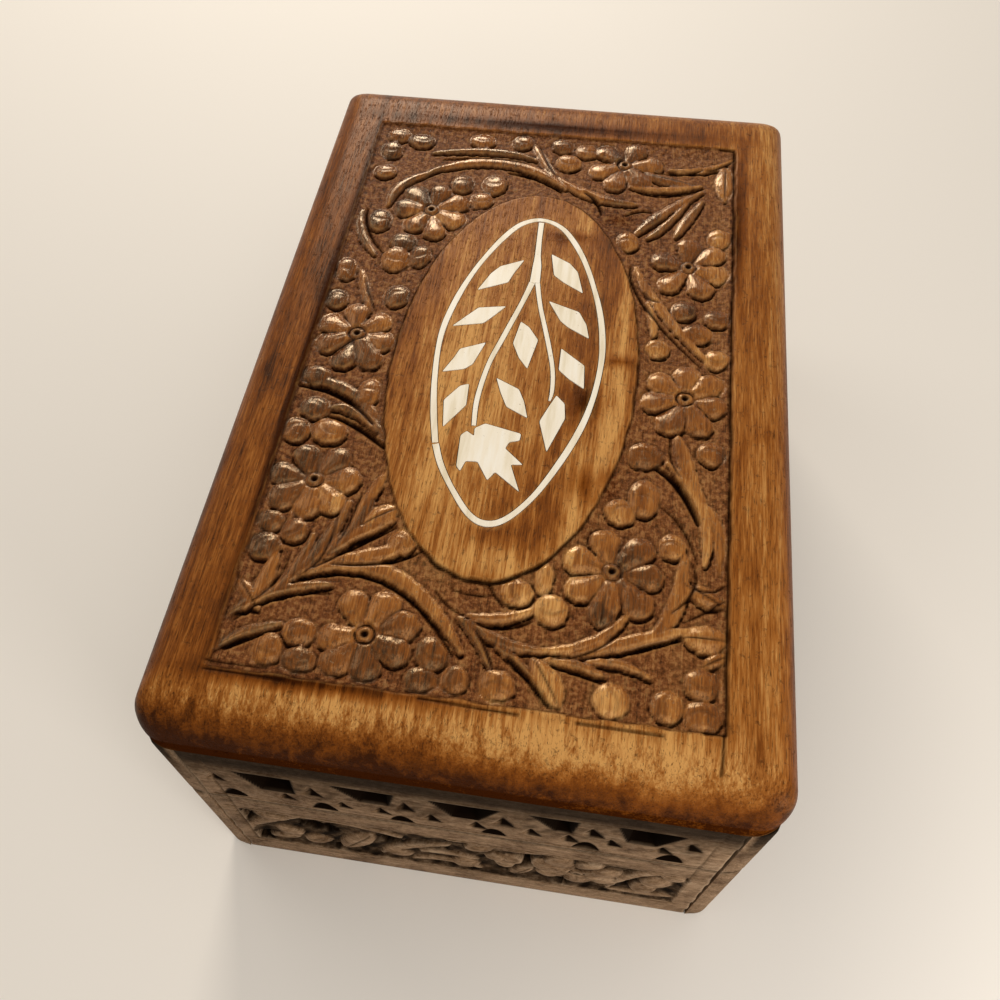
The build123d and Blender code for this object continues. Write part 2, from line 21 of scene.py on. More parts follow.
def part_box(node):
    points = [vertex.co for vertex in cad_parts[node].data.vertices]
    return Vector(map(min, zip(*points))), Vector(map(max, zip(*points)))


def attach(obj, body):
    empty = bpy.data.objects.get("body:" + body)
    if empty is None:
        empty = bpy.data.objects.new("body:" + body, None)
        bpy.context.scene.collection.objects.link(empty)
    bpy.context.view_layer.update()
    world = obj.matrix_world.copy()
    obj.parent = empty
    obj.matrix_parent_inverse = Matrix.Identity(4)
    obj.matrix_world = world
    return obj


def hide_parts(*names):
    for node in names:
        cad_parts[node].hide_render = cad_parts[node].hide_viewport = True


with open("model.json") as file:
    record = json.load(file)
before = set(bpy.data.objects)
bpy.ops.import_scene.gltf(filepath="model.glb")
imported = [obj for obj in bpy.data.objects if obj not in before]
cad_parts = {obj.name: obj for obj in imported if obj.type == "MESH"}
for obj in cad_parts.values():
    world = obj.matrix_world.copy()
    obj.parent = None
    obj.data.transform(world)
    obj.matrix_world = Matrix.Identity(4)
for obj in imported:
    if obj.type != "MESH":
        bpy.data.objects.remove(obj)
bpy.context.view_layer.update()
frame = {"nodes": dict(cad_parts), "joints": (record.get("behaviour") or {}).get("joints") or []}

mm = 0.001
nodes = frame["nodes"]
print(len(nodes), "nodes in the frame")

# %% [markdown]
# ## Sizes
# Everything is worked out from a few boards. The places of the carving are written in millimetres,
# x from the middle of the box and y from the lid's front edge, as one would lay a ruler on the lid. They
# are turned to metres only when a mesh is written.

# %% Sizes of the boards, in millimetres
lid_low, lid_high = (Vector(corner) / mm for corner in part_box("lid_top_board"))
half_width, half_length = lid_high.x, lid_high.y
lid_top, lid_under = lid_high.z, lid_low.z
right_low, right_high = (Vector(corner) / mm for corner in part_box("body_right_board"))
wall_face_x, wall_face_y = right_high.x, right_high.y
inner_x = right_low.x
inner_y = -Vector(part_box("body_front_board")[1]).y / mm
print("lid", round(2 * half_width), "x", round(2 * half_length), "mm, walls at", round(wall_face_x, 1))

# %% [markdown]
# ## Camera, lamps and floor
# The photograph looks down on the box from just in front of its short end, from about 25 cm away. One
# lamp straight above would light a relief flat. A lamp behind puts a glint on the far side of every petal
# and leaves its near side dark, which is what makes the carving readable. Softer lamps on the left and
# overhead light the plain wood, and a weak one at the right front lights the carved end wall. Together
# with a pale room they come to about one on the lid, so that a colour renders about as it is written.

# %% Camera
camera_data = bpy.data.cameras.new("camera")
camera_data.lens = 34.79
camera_data.shift_x = 0.0308
camera_data.shift_y = 0.0067
camera = bpy.data.objects.new("camera", camera_data)
camera.location = Vector((15.97, -153.45, 264.19)) * mm
camera.rotation_euler = (0.57090, 0.02257, 0.15508)
bpy.context.scene.collection.objects.link(camera)
bpy.context.scene.camera = camera
bpy.context.scene.view_settings.view_transform = "Standard"


# %% Colours and nodes
def colour(code):
    """Linear colour of an sRGB hex code such as 8A5A2B."""
    parts = [int(code[i:i + 2], 16) / 255 for i in (0, 2, 4)]
    return [part / 12.92 if part <= 0.04045 else ((part + 0.055) / 1.055) ** 2.4 for part in parts] + [1]


def add_node(tree, kind, links=None, stops=None, **settings):
    """Adds a node. Links give each input a value or another node's output; stops are a ramp's colours."""
    node = tree.nodes.new(kind)
    for name, value in settings.items():
        setattr(node, name, value)
    for name, value in (links or {}).items():
        if isinstance(value, bpy.types.NodeSocket):
            tree.links.new(value, node.inputs[name])
        else:
            node.inputs[name].default_value = value
    if stops:
        while len(node.color_ramp.elements) < len(stops):
            node.color_ramp.elements.new(1.0)
        for element, (place, shade) in zip(node.color_ramp.elements, stops):
            element.position = place
            element.color = colour(shade)
    return node


def new_material(name):
    """An empty material and its node tree."""
    material = bpy.data.materials.new(name)
    material.use_nodes = True
    material.node_tree.nodes.clear()
    return material, material.node_tree


# %% Lamps and floor
def area_lamp(name, place, aim, size, power, shade):
    """A square lamp that faces a point. Places are in millimetres."""
    data = bpy.data.lights.new(name, "AREA")
    data.size = size * mm
    data.energy = power
    data.color = colour(shade)[:3]
    lamp = bpy.data.objects.new(name, data)
    lamp.location = Vector(place) * mm
    lamp.rotation_euler = (Vector(place) - Vector(aim)).to_track_quat("Z", "Y").to_euler()
    bpy.context.scene.collection.objects.link(lamp)


area_lamp("back_lamp", (-210, 800, 520), (0, 0, 60), 300, 4.2, "FFF3E2")
area_lamp("left_lamp", (-450, 250, 560), (0, 0, 60), 340, 0.5, "FFF6EA")
area_lamp("top_lamp", (110, -190, 640), (0, 0, 60), 420, 0.95, "FFF6EA")
area_lamp("front_lamp", (250, -280, 140), (40, -80, 45), 120, 0.5, "FFF8F0")

world = bpy.data.worlds.new("studio")
bpy.context.scene.world = world
world.use_nodes = True
room_light = world.node_tree.nodes["Background"].inputs
room_light["Color"].default_value = colour("F6EFE6")
room_light["Strength"].default_value = 0.4

floor_paint, tree = new_material("matte_white_paint")
shader = add_node(tree, "ShaderNodeBsdfPrincipled", {"Base Color": colour("F0EDE8"), "Roughness": 0.7})
add_node(tree, "ShaderNodeOutputMaterial", {"Surface": shader.outputs[0]})
bm = bmesh.new()
bmesh.ops.create_grid(bm, x_segments=1, y_segments=1, size=3.0)
floor_mesh = bpy.data.meshes.new("floor")
bm.to_mesh(floor_mesh)
bm.free()
floor = bpy.data.objects.new("floor", floor_mesh)
floor_mesh.materials.append(floor_paint)
bpy.context.scene.collection.objects.link(floor)

# %% [markdown]
# ## Carving as layers of height
# The relief is about a millimetre deep. It could be sculpted by hand, or cut with one boolean for each
# motif, but that would leave thousands of thin faces. Seen from above it is a map of heights, so it is
# worked out as one. Each motif adds a height inside its outline and a steep cut outside it, and the
# highest motif wins at each point, so two motifs that meet leave a V between them. Because every height
# runs on smoothly past its outline, a grid of small cells follows it without steps. Heights count in
# millimetres from the board's uncut face.

# %% Height layers
petal_crown, petal_rim = -0.10, -0.85
stem_crown = -0.42
highest = -0.03             # no motif reaches the uncut face
shoulder = 2.6              # how far in from its outline a motif is rounded
cut_slope = 3.2             # steepness of the cut outside an outline
boss_radius, eye_radius = 1.7, 0.85
hollow_round_boss = 2.3
nothing, far_away = -9.0, 99.0


class Carving:
    """Heights of the motifs at a set of points, and how far each point is from the nearest outline."""

    def __init__(self, x, y, slope=cut_slope):
        self.x, self.y, self.slope = x, y, slope
        self.top = np.full(x.shape, nothing)
        self.edge = np.full(x.shape, far_away)
        self.groove = np.zeros(x.shape)
        # How dark a cut, eye or stroke is painted: painted shade and grime
        self.mark = np.zeros(x.shape)
        self.tone = np.zeros(x.shape)
        self.count = 0
        self.wobble = 0.17 * ripple(x, y, 5.3) + 0.09 * ripple(y, x, 2.3)

    def lay(self, edge, crown=petal_crown, rim=petal_rim, tilt=0.0, rounding=shoulder):
        """Adds one motif. The edge is negative inside its outline, which a hand never cuts quite true."""
        edge = edge + self.wobble
        inward = np.clip(-edge / rounding, 0, 1)
        dome = rim + (crown - rim) * (1 - (1 - inward) ** 2) + tilt
        height = np.minimum(dome, highest) - self.slope * np.clip(edge, 0, None)
        self.count += 1
        self.tone = np.where(height > self.top, sin(7.3 * self.count), self.tone)
        self.top = np.maximum(self.top, height)
        self.edge = np.minimum(self.edge, edge)

    def own_lean(self, x, y):
        """Each motif leans its own small way, worked out from its place."""
        turn = 2.4 * x + 1.7 * y
        return 0.09 * (cos(turn) * (self.x - x) + sin(turn) * (self.y - y))

    def petal(self, middle, x, y, radius, tilt=0.2):
        """A petal widens from the flower's middle, dips towards it, and overlaps its neighbour."""
        mx, my = middle
        length = hypot(x - mx, y - my)
        ux, uy = (x - mx) / length, (y - my) / length
        ahead = (self.x - mx) * ux + (self.y - my) * uy
        aside = (self.y - my) * ux - (self.x - mx) * uy
        share = np.clip(ahead / length, 0, 1)
        gap = np.hypot(ahead - share * length, aside)
        lean = tilt * np.clip(aside / radius, -1, 1) - 0.4 * (1 - share) ** 1.5
        self.lay(gap - (0.9 + (radius - 0.9) * share), tilt=lean + self.own_lean(x, y))
        vein = [(mx + reach * ux, my + reach * uy) for reach in (2.2, 3.4, 5.6)]
        self.cut(*vein, width=0.8, depth=0.14, dark=0.35)

    def flower(self, middle, petals, radius):
        """Petals round a small boss with a drilled eye. Each petal's place is its round end's middle."""
        for number, (x, y) in enumerate(petals):
            self.petal(middle, x, y, radius * (1 + 0.05 * sin(2.1 * number + middle[0])))
        gap = np.hypot(self.x - middle[0], self.y - middle[1])
        self.top = np.where(gap < hollow_round_boss, np.minimum(self.top, petal_rim - 0.1), self.top)
        self.lay(gap - boss_radius, crown=-0.3, rim=-0.7, rounding=1.0)
        self.groove = np.maximum(self.groove, 1.2 * np.clip(1 - gap / eye_radius, 0, 1))
        # The drilled eye is painted dark: painted shade in the hole
        self.mark = np.maximum(self.mark, np.clip(1.6 - gap / 0.7, 0, 1))
        self.edge = np.minimum(self.edge, gap - hollow_round_boss)

    def bud(self, x, y, wide, long, cup=0.0):
        """A bud is a flat dome on an oval, with the curved stroke of a gouge across it."""
        dx, dy = self.x - x, self.y - y
        share = np.hypot(dx / wide, dy / long) + 1e-6
        self.lay(np.hypot(dx, dy) * (1 - 1 / share), tilt=self.own_lean(x, y))
        turned = dx * cos(cup) + dy * sin(cup)
        from_middle = np.hypot(dx + 0.5 * wide * cos(cup), dy + 0.5 * long * sin(cup))
        arc = np.abs(from_middle - 0.8 * min(wide, long))
        stroke = np.clip(1 - arc / 0.5, 0, 1) * (turned > 0) * (share < 0.85)
        self.groove = np.maximum(self.groove, 0.15 * stroke)
        self.mark = np.maximum(self.mark, 0.3 * stroke)

    def leaf(self, start, tip, width):
        """A pointed leaf: where two wide circles overlap, with its midrib cut in."""
        (ax, ay), (bx, by) = start, tip
        half, reach = width / 2, hypot(bx - ax, by - ay) / 2
        radius = (reach ** 2 + half ** 2) / width
        ux, uy = (bx - ax) / (2 * reach), (by - ay) / (2 * reach)
        dx, dy = self.x - (ax + bx) / 2, self.y - (ay + by) / 2
        ahead, aside = dx * ux + dy * uy, dy * ux - dx * uy
        self.lay(np.hypot(ahead, np.abs(aside) + radius - half) - radius)
        self.cut(start, ((ax + bx) / 2, (ay + by) / 2), (tip[0] - ux, tip[1] - uy), 0.7, 0.3)

    def along_curve(self, start, bow, end, steps=14):
        """Distance to a curve through three points, and how far along it the nearest point lies."""
        start, bow, end = (np.array(point, float) for point in (start, bow, end))
        handle = 2 * bow - (start + end) / 2
        share = np.linspace(0, 1, steps + 1)[:, None]
        line = (1 - share) ** 2 * start + 2 * share * (1 - share) * handle + share ** 2 * end
        low, high = line.min(axis=0) - 3, line.max(axis=0) + 3
        near = (self.x > low[0]) & (self.x < high[0]) & (self.y > low[1]) & (self.y < high[1])
        x, y = self.x[near], self.y[near]
        nearest = np.full(x.shape, far_away)
        place = np.zeros(x.shape)
        for number in range(steps):
            a, b = line[number], line[number + 1]
            step = b - a
            part = np.clip(((x - a[0]) * step[0] + (y - a[1]) * step[1]) / (step @ step), 0, 1)
            gap = np.hypot(x - a[0] - part * step[0], y - a[1] - part * step[1])
            closer = gap < nearest
            nearest = np.where(closer, gap, nearest)
            place = np.where(closer, (number + part) / steps, place)
        all_gaps, all_places = np.full(self.x.shape, far_away), np.zeros(self.x.shape)
        all_gaps[near], all_places[near] = nearest, place
        return all_gaps, all_places

    def stem(self, start, bow, end, width, crown=stem_crown, rim=petal_rim):
        """A raised stem or blade, which thins out towards both ends."""
        gap, place = self.along_curve(start, bow, end)
        half = width / 2 * (0.3 + 0.7 * np.sin(pi * place) ** 0.7)
        self.lay(gap - half, crown, rim, rounding=1.3)

    def cut(self, start, bow, end, width, depth=None, dark=1.0):
        """A cut made by one stroke of the knife, and how dark it is painted, as painted shade and grime."""
        gap, place = self.along_curve(start, bow, end, steps=8)
        half = width / 2 * (0.4 + 0.6 * np.sin(pi * place) ** 0.6)
        stroke = 0.5 + 0.5 * np.cos(pi * np.clip(gap / half, 0, 1))
        self.groove = np.maximum(self.groove, (depth or 0.5 * width) * stroke)
        self.mark = np.maximum(self.mark, dark * stroke)


def ripple(x, y, size):
    """Slow uneven waves, as a hand tool leaves them, between -1 and 1."""
    u, v = x / size * 2 * pi, y / size * 2 * pi
    return (np.sin(u + 1.7 * np.sin(0.63 * v + 0.4)) * np.sin(0.87 * v + 1.3 * np.sin(0.71 * u))
            + 0.5 * np.sin(1.9 * u - 1.3 * v + 2.0)) / 1.5


def gouged(x, y):
    """The rough floor that short strokes of a small gouge leave."""
    return 0.09 * ripple(x, y, 6.1) + 0.07 * ripple(y, x, 2.7) + 0.06 * ripple(x + y, x - y, 1.7)


# %% [markdown]
# The cells of the grid are about 0.4 mm wide, and the thinnest cuts are not much wider. A cut that is
# sampled only at the cells' corners looks like a string of beads. So each corner takes the mean of four
# places round it.

# %% Sampling, and standing motifs on a floor
def averaged(carve, x, y, reach=0.13):
    """The mean of a carving at four places round each point, so that thin cuts stay even on the grid."""
    corners = [carve(x + dx, y + dy) for dx in (-reach, reach) for dy in (-reach, reach)]
    return [sum(values) / 4 for values in zip(*corners)]


def stand_on(motifs, shifted, floor_height, near_side=0.9):
    """Puts motifs on a floor. The knife went in deepest on the near side, where a motif stands behind.

    Shifted is the same carving, moved a little to its near or lower side. Gives the height, and the
    grime and painted shade: a painted shadow on the near side of each motif, and dark in the cuts."""
    behind = np.clip((shifted.top - floor_height) / 0.4, 0, 1)
    behind = behind * np.clip(0.9 - (motifs.top - floor_height) / 0.25, 0, 1)
    sunk = floor_height - near_side * behind
    height = np.maximum(sunk, motifs.top) - motifs.groove
    # The near side of each motif is painted dark as a painted shadow, and its cuts as painted shade and
    # grime
    return height, np.clip(1.6 * behind + 1.6 * motifs.mark, 0, 1)


# %% [markdown]
# ## The flowers of the lid
# Eight flowers stand in a loose ring round the oval, with buds, three-lobed leaves and long stems
# between them. They could be scattered by a rule, but no two are alike on the real lid, because each
# petal was set by eye with one gouge. So the petals are listed one by one, as are the strokes of the
# knife.

# %% Flowers of the lid: their middles and petals, in millimetres
petal_radius = 3.25
flowers = [
    ((-20.8, 24.8), [(-24.4, 31.2), (-18.0, 31.8), (-13.6, 27.6), (-14.2, 22.0), (-19.4, 17.8),
                     (-25.2, 18.4), (-27.2, 23.6)]),
    ((26.1, 45.7), [(24.4, 52.2), (31.2, 51.4), (33.4, 45.4), (31.6, 39.2), (25.1, 38.4), (19.9, 41.2),
                    (19.3, 47.6)]),
    ((-39.5, 59.5), [(-42.5, 65.6), (-35.8, 65.3), (-32.7, 60.5), (-34.4, 54.4), (-39.8, 52.8),
                     (-45.4, 54.4), (-46.7, 60.3)]),
    ((39.1, 92.8), [(39.4, 99.4), (33.2, 97.2), (31.9, 91.4), (35.8, 85.8), (42.4, 85.6), (45.4, 91.2),
                    (44.8, 97.4)]),
    ((-39.5, 102.5), [(-34.7, 107.0), (-32.8, 100.8), (-35.0, 95.0), (-41.2, 94.4), (-46.2, 98.8),
                      (-46.4, 105.4), (-41.0, 109.4)]),
    ((38.4, 135.4), [(38.8, 142.4), (32.6, 137.4), (33.8, 129.4), (41.6, 128.6), (45.6, 133.6),
                     (44.6, 140.4)]),
    ((-29.4, 148.3), [(-34.4, 154.4), (-27.8, 155.2), (-22.8, 151.4), (-22.6, 145.2), (-27.3, 140.6),
                      (-33.1, 142.8), (-36.6, 148.5)]),
    ((20.0, 172.8), [(27.0, 173.2), (13.4, 169.8), (17.8, 165.2), (24.4, 166.6), (14.8, 178.0),
                     (22.6, 179.0)]),
]

# %% Buds and lobes of the lid
# Place, half width, half length and the side that the gouge came from
buds = [
    (-33.7, 23.7, 3.6, 3.0, 1.6), (-39.1, 18.9, 3.1, 3.7, 4.6), (-32.6, 17.5, 3.5, 2.9, 4.7),
    (-7.0, 22.8, 3.4, 3.6, 4.4), (-8.1, 16.9, 3.4, 2.9, 1.6), (-2.0, 17.8, 2.8, 3.2, 3.0),
    (6.3, 17.6, 3.5, 3.6, 1.6), (28.1, 18.1, 3.5, 3.9, 0.4), (38.4, 18.5, 3.1, 3.5, 3.1),
    (44.9, 23.9, 3.6, 3.3, 4.6), (44.9, 17.4, 3.6, 3.6, 1.6), (7.4, 38.2, 3.5, 3.1, 3.6),
    (12.6, 42.0, 2.0, 3.8, 4.7), (14.7, 35.3, 3.5, 3.5, 4.7), (-17.6, 46.8, 3.1, 3.1, 0.8),
    (-46.4, 47.8, 3.0, 2.8, 1.6), (-46.0, 42.0, 3.6, 3.4, 2.4), (-40.8, 46.4, 3.0, 3.0, 5.4),
    (37.8, 53.4, 2.9, 3.1, 1.6), (26.8, 60.5, 3.4, 3.3, 2.2), (31.6, 64.6, 3.4, 4.8, 1.6),
    (31.0, 75.6, 4.0, 3.5, 1.4), (45.5, 78.2, 3.2, 3.2, 1.5), (-44.0, 79.2, 3.5, 3.4, 1.0),
    (-47.0, 72.4, 3.5, 3.7, 2.3), (-39.4, 73.2, 4.2, 3.7, 4.2), (-32.6, 85.4, 2.9, 4.0, 1.6),
    (-46.2, 88.2, 3.6, 3.0, 1.6), (-32.6, 116.2, 3.3, 3.8, 2.0), (-47.1, 113.4, 2.9, 3.4, 1.8),
    (-47.1, 123.6, 3.0, 4.2, 4.7), (32.2, 107.2, 2.9, 3.0, 1.6), (46.0, 105.4, 3.2, 3.0, 4.7),
    (41.4, 113.2, 3.6, 3.2, 4.2), (46.0, 118.8, 3.2, 3.0, 4.7), (37.6, 120.4, 3.2, 3.2, 1.0),
    (46.0, 146.5, 3.2, 3.7, 1.6), (22.6, 142.6, 3.0, 3.6, 1.6), (-35.3, 128.8, 3.7, 4.3, 4.7),
    (-29.4, 130.6, 3.1, 3.9, 5.2), (-34.4, 135.4, 3.6, 3.4, 1.6), (-22.8, 159.8, 3.2, 3.7, 1.6),
    (-14.4, 160.6, 3.4, 4.2, 4.7), (-17.0, 153.6, 3.2, 3.2, 4.7), (4.8, 171.8, 3.6, 3.4, 4.7),
    (9.4, 177.6, 3.1, 3.0, 4.7), (2.6, 178.8, 3.2, 2.9, 1.6), (-37.0, 176.6, 3.6, 3.1, 4.7),
    (-44.8, 171.2, 3.2, 3.7, 4.7), (-43.6, 178.2, 3.4, 3.0, 1.6), (-45.0, 162.6, 3.2, 3.0, 4.7),
    (-20.0, 178.6, 3.6, 3.0, 4.7), (-9.0, 179.2, 3.2, 3.0, 4.2), (-42.2, 143.0, 3.2, 4.2, 4.7),
]

# %% Leaves and stems of the lid
# Leaves: stalk end, tip and width
leaves = [
    ((12.4, 25.0), (18.9, 14.8), 5.6), ((40.6, 33.2), (50.2, 33.4), 6.2),
    ((-27.0, 49.4), (-19.2, 55.2), 5.2), ((47.0, 176.0), (47.0, 161.0), 5.4),
    ((24.0, 170.0), (40.0, 166.4), 4.2), ((25.2, 40.5), (24.7, 32.8), 5.8),
    ((40.6, 45.0), (49.2, 40.4), 4.4), ((44.6, 27.4), (49.8, 30.6), 3.0),
    ((-49.2, 34.0), (-43.0, 27.0), 3.6),
]
# Stems and blades: start, middle, end and width
stems = [
    ((-39.0, 35.4), (-19.5, 39.3), (-1.6, 24.0), 3.6),
    ((-49.0, 25.0), (-41.5, 31.6), (-30.0, 34.8), 2.8),
    ((-49.4, 17.8), (-44.5, 22.0), (-37.5, 25.0), 2.4),
    ((-40.0, 34.0), (-34.5, 42.0), (-30.5, 55.0), 3.2),
    ((-36.0, 38.5), (-28.5, 46.5), (-20.0, 52.0), 3.4),
    ((-32.0, 40.6), (-22.5, 43.0), (-14.5, 47.0), 3.4),
    ((-46.0, 27.0), (-43.8, 34.0), (-43.0, 41.0), 3.4),
    ((-43.0, 30.5), (-38.5, 36.0), (-36.4, 46.0), 3.0),
    ((-34.0, 40.5), (-28.5, 48.0), (-26.0, 58.0), 3.0), ((-3.4, 31.5), (0.4, 28.0), (4.4, 21.6), 2.2),
    ((-1.5, 32.0), (5.0, 32.2), (11.5, 35.1), 2.6), ((13.5, 26.4), (23.0, 29.4), (30.0, 36.5), 2.6),
    ((20.0, 26.2), (31.0, 30.8), (41.5, 34.8), 3.2), ((34.5, 32.0), (39.4, 40.5), (40.4, 52.0), 3.6),
    ((-1.0, 30.8), (6.0, 27.2), (14.5, 26.4), 2.6), ((5.0, 26.2), (9.6, 23.4), (13.0, 20.6), 1.8),
    ((15.0, 24.8), (21.0, 24.4), (26.5, 22.8), 2.2), ((22.5, 25.3), (29.0, 25.8), (35.0, 23.8), 1.8),
    ((44.6, 50.0), (43.8, 63.0), (36.0, 74.6), 3.0), ((38.0, 82.0), (40.2, 74.0), (46.2, 56.0), 3.4),
    ((-49.0, 87.0), (-38.0, 85.2), (-28.6, 77.1), 3.0),
    ((-40.5, 79.6), (-33.5, 78.8), (-25.5, 71.6), 3.2),
    ((-47.6, 146.0), (-46.0, 138.0), (-41.0, 130.0), 2.6),
    ((-43.0, 124.0), (-40.6, 117.0), (-38.0, 110.5), 2.6),
    ((25.5, 134.0), (31.8, 121.0), (44.6, 104.0), 2.8),
    ((5.0, 161.4), (-13.0, 170.0), (-33.0, 163.6), 3.8),
    ((-32.0, 163.6), (-39.4, 157.0), (-41.2, 149.0), 3.0),
    ((-4.0, 172.0), (-16.0, 174.4), (-33.0, 171.8), 2.6),
    ((-5.5, 178.5), (-2.0, 171.5), (2.4, 164.0), 3.0),
    ((2.4, 165.6), (12.0, 159.6), (24.0, 157.6), 3.4),
    ((22.0, 164.4), (31.0, 164.3), (41.0, 167.0), 2.2),
    ((49.0, 178.6), (42.0, 174.0), (32.0, 172.6), 2.4),
    ((24.5, 146.0), (31.0, 154.4), (41.0, 164.6), 3.0),
    ((41.5, 161.0), (37.1, 152.0), (34.8, 146.0), 2.6),
    ((27.8, 145.0), (31.8, 150.0), (37.6, 160.0), 2.2),
    ((-24.0, 64.0), (-26.2, 58.0), (-29.0, 50.0), 2.8),
    ((29.0, 122.0), (30.6, 116.0), (31.0, 111.0), 2.4), ((45.0, 64.0), (47.2, 58.0), (47.6, 48.0), 2.6),
]

# %% Knife cuts of the lid
# Start, middle, end and width
cuts = [
    ((-38.0, 34.0), (-20.0, 37.0), (-3.0, 23.0), 1.5),
    ((-47.6, 24.2), (-40.0, 30.6), (-29.6, 32.8), 1.2),
    ((-49.6, 16.6), (-45.0, 20.4), (-40.6, 22.0), 1.0),
    ((-31.0, 39.4), (-21.0, 41.0), (-13.0, 45.0), 1.3),
    ((-34.5, 38.0), (-27.0, 44.2), (-19.4, 50.2), 1.3), ((0.4, 29.2), (3.4, 24.8), (5.0, 21.0), 1.0),
    ((0.4, 30.5), (6.0, 30.2), (11.4, 32.6), 1.2), ((15.8, 25.0), (24.0, 27.8), (29.6, 34.0), 0.9),
    ((28.6, 27.4), (34.0, 30.2), (41.0, 32.8), 1.3), ((40.6, 36.4), (44.4, 38.9), (48.8, 42.2), 0.8),
    ((42.3, 50.0), (42.6, 44.0), (38.4, 38.0), 1.0), ((7.4, 24.2), (12.4, 19.8), (16.6, 15.0), 1.5),
    ((16.4, 23.4), (21.0, 22.9), (26.0, 21.4), 1.3), ((33.4, 73.0), (38.6, 68.6), (43.2, 59.6), 2.4),
    ((36.4, 82.0), (36.8, 75.6), (39.0, 71.0), 0.9), ((35.2, 63.0), (40.0, 58.0), (43.2, 50.0), 1.0),
    ((-49.6, 84.8), (-39.5, 83.2), (-30.0, 76.0), 1.8),
    ((-40.4, 77.2), (-33.0, 74.8), (-25.6, 69.4), 2.2),
    ((-46.4, 147.0), (-44.6, 139.0), (-39.0, 131.0), 1.3),
    ((-41.4, 121.0), (-39.2, 115.6), (-36.6, 110.6), 0.9),
    ((24.2, 134.0), (28.0, 121.2), (42.6, 103.0), 1.3),
    ((4.0, 160.0), (-2.6, 164.4), (-11.0, 166.2), 2.2),
    ((-6.0, 170.2), (-17.0, 171.2), (-30.0, 169.4), 1.5),
    ((24.0, 162.6), (31.0, 161.9), (40.0, 164.6), 1.2),
    ((10.0, 160.2), (13.6, 157.0), (15.2, 152.6), 1.6),
    ((-4.0, 178.6), (-0.8, 170.6), (2.4, 165.6), 0.9),
    ((21.6, 153.0), (25.0, 155.0), (28.4, 155.2), 1.4),
    ((28.0, 171.0), (34.0, 171.0), (41.0, 173.2), 1.3),
    ((42.0, 173.2), (46.0, 175.2), (50.0, 179.2), 0.9), ((1.6, 39.4), (3.4, 37.0), (5.4, 34.6), 1.0),
    ((-37.0, 36.0), (-33.0, 42.0), (-32.4, 52.0), 0.8),
    ((-31.0, 44.0), (-29.5, 50.0), (-28.6, 58.0), 0.8),
    ((-45.0, 28.6), (-41.4, 34.0), (-40.2, 41.0), 0.8),
    ((-28.4, 44.6), (-24.4, 47.4), (-21.6, 49.0), 0.8), ((41.6, 46.0), (44.6, 43.6), (48.6, 45.6), 1.0),
    ((28.0, 125.4), (29.6, 123.0), (32.0, 122.4), 1.0), ((-6.0, 37.4), (-1.0, 36.6), (3.0, 37.2), 0.8),
    ((-2.0, 31.8), (-6.0, 33.8), (-9.0, 37.0), 0.9),
]
# Straight scores that the carver drew with a point, past the corners of the field
scores = [
    ((-50.0, 15.0), (-38.0, 15.2)), ((-50.0, 13.2), (-34.0, 13.0)), ((48.9, 14.4), (48.7, 7.0)),
    ((-8.0, 13.2), (11.0, 12.6)), ((22.0, 12.6), (38.0, 12.5)),
]

# %% Borders of the field and the oval
field_half_width = 49.4
field_front, field_back = 14.0, 182.4
oval_middle = (-0.75, 98.25)
oval_half_width, oval_half_length = 28.7, 58.7
border_depth, ground_depth = 0.5, 1.12
print(len(flowers), "flowers,", len(buds), "buds,", len(stems), "stems and", len(cuts), "cuts")


# %% Heights over the lid
near_shift = (0.2, 0.72)    # how far the knife reached to the near side of a motif
line_depth = 1.1            # depth of a knife line, as a share of its width
score_half_width, score_depth = 0.45, 0.35


def all_motifs(carving, flowers, radius, buds, leaves, stems, cuts=()):
    """Lays every motif of a board. Their order gives each its own shade."""
    for middle, petals in flowers:
        carving.flower(middle, petals, radius)
    for bud in buds:
        carving.bud(*bud)
    for leaf in leaves:
        carving.leaf(*leaf)
    for stem in stems:
        carving.stem(*stem)
    for cut in cuts:
        carving.cut(*cut)
    return carving


def lid_motifs(x, y):
    """All the motifs of the lid, at a set of points."""
    return all_motifs(Carving(x, y), flowers, petal_radius, buds, leaves, stems, cuts)


def inside_field(x, y):
    """How far a point lies inside the field's straight border, and outside the oval."""
    border = np.minimum(field_half_width + 0.2 * ripple(y, x, 23.0) - np.abs(x),
                        np.minimum(y - field_front - 0.3 * ripple(x, y, 17.0),
                                   field_back + 0.3 * ripple(x, y, 19.0) - y))
    share = np.hypot((x - oval_middle[0]) / oval_half_width, (y - oval_middle[1]) / oval_half_length)
    from_middle = np.hypot(x - oval_middle[0], y - oval_middle[1])
    from_oval = (share - 1) * from_middle / np.maximum(share, 1e-6) + 0.3 * ripple(x, y, 13.0)
    return border, from_oval


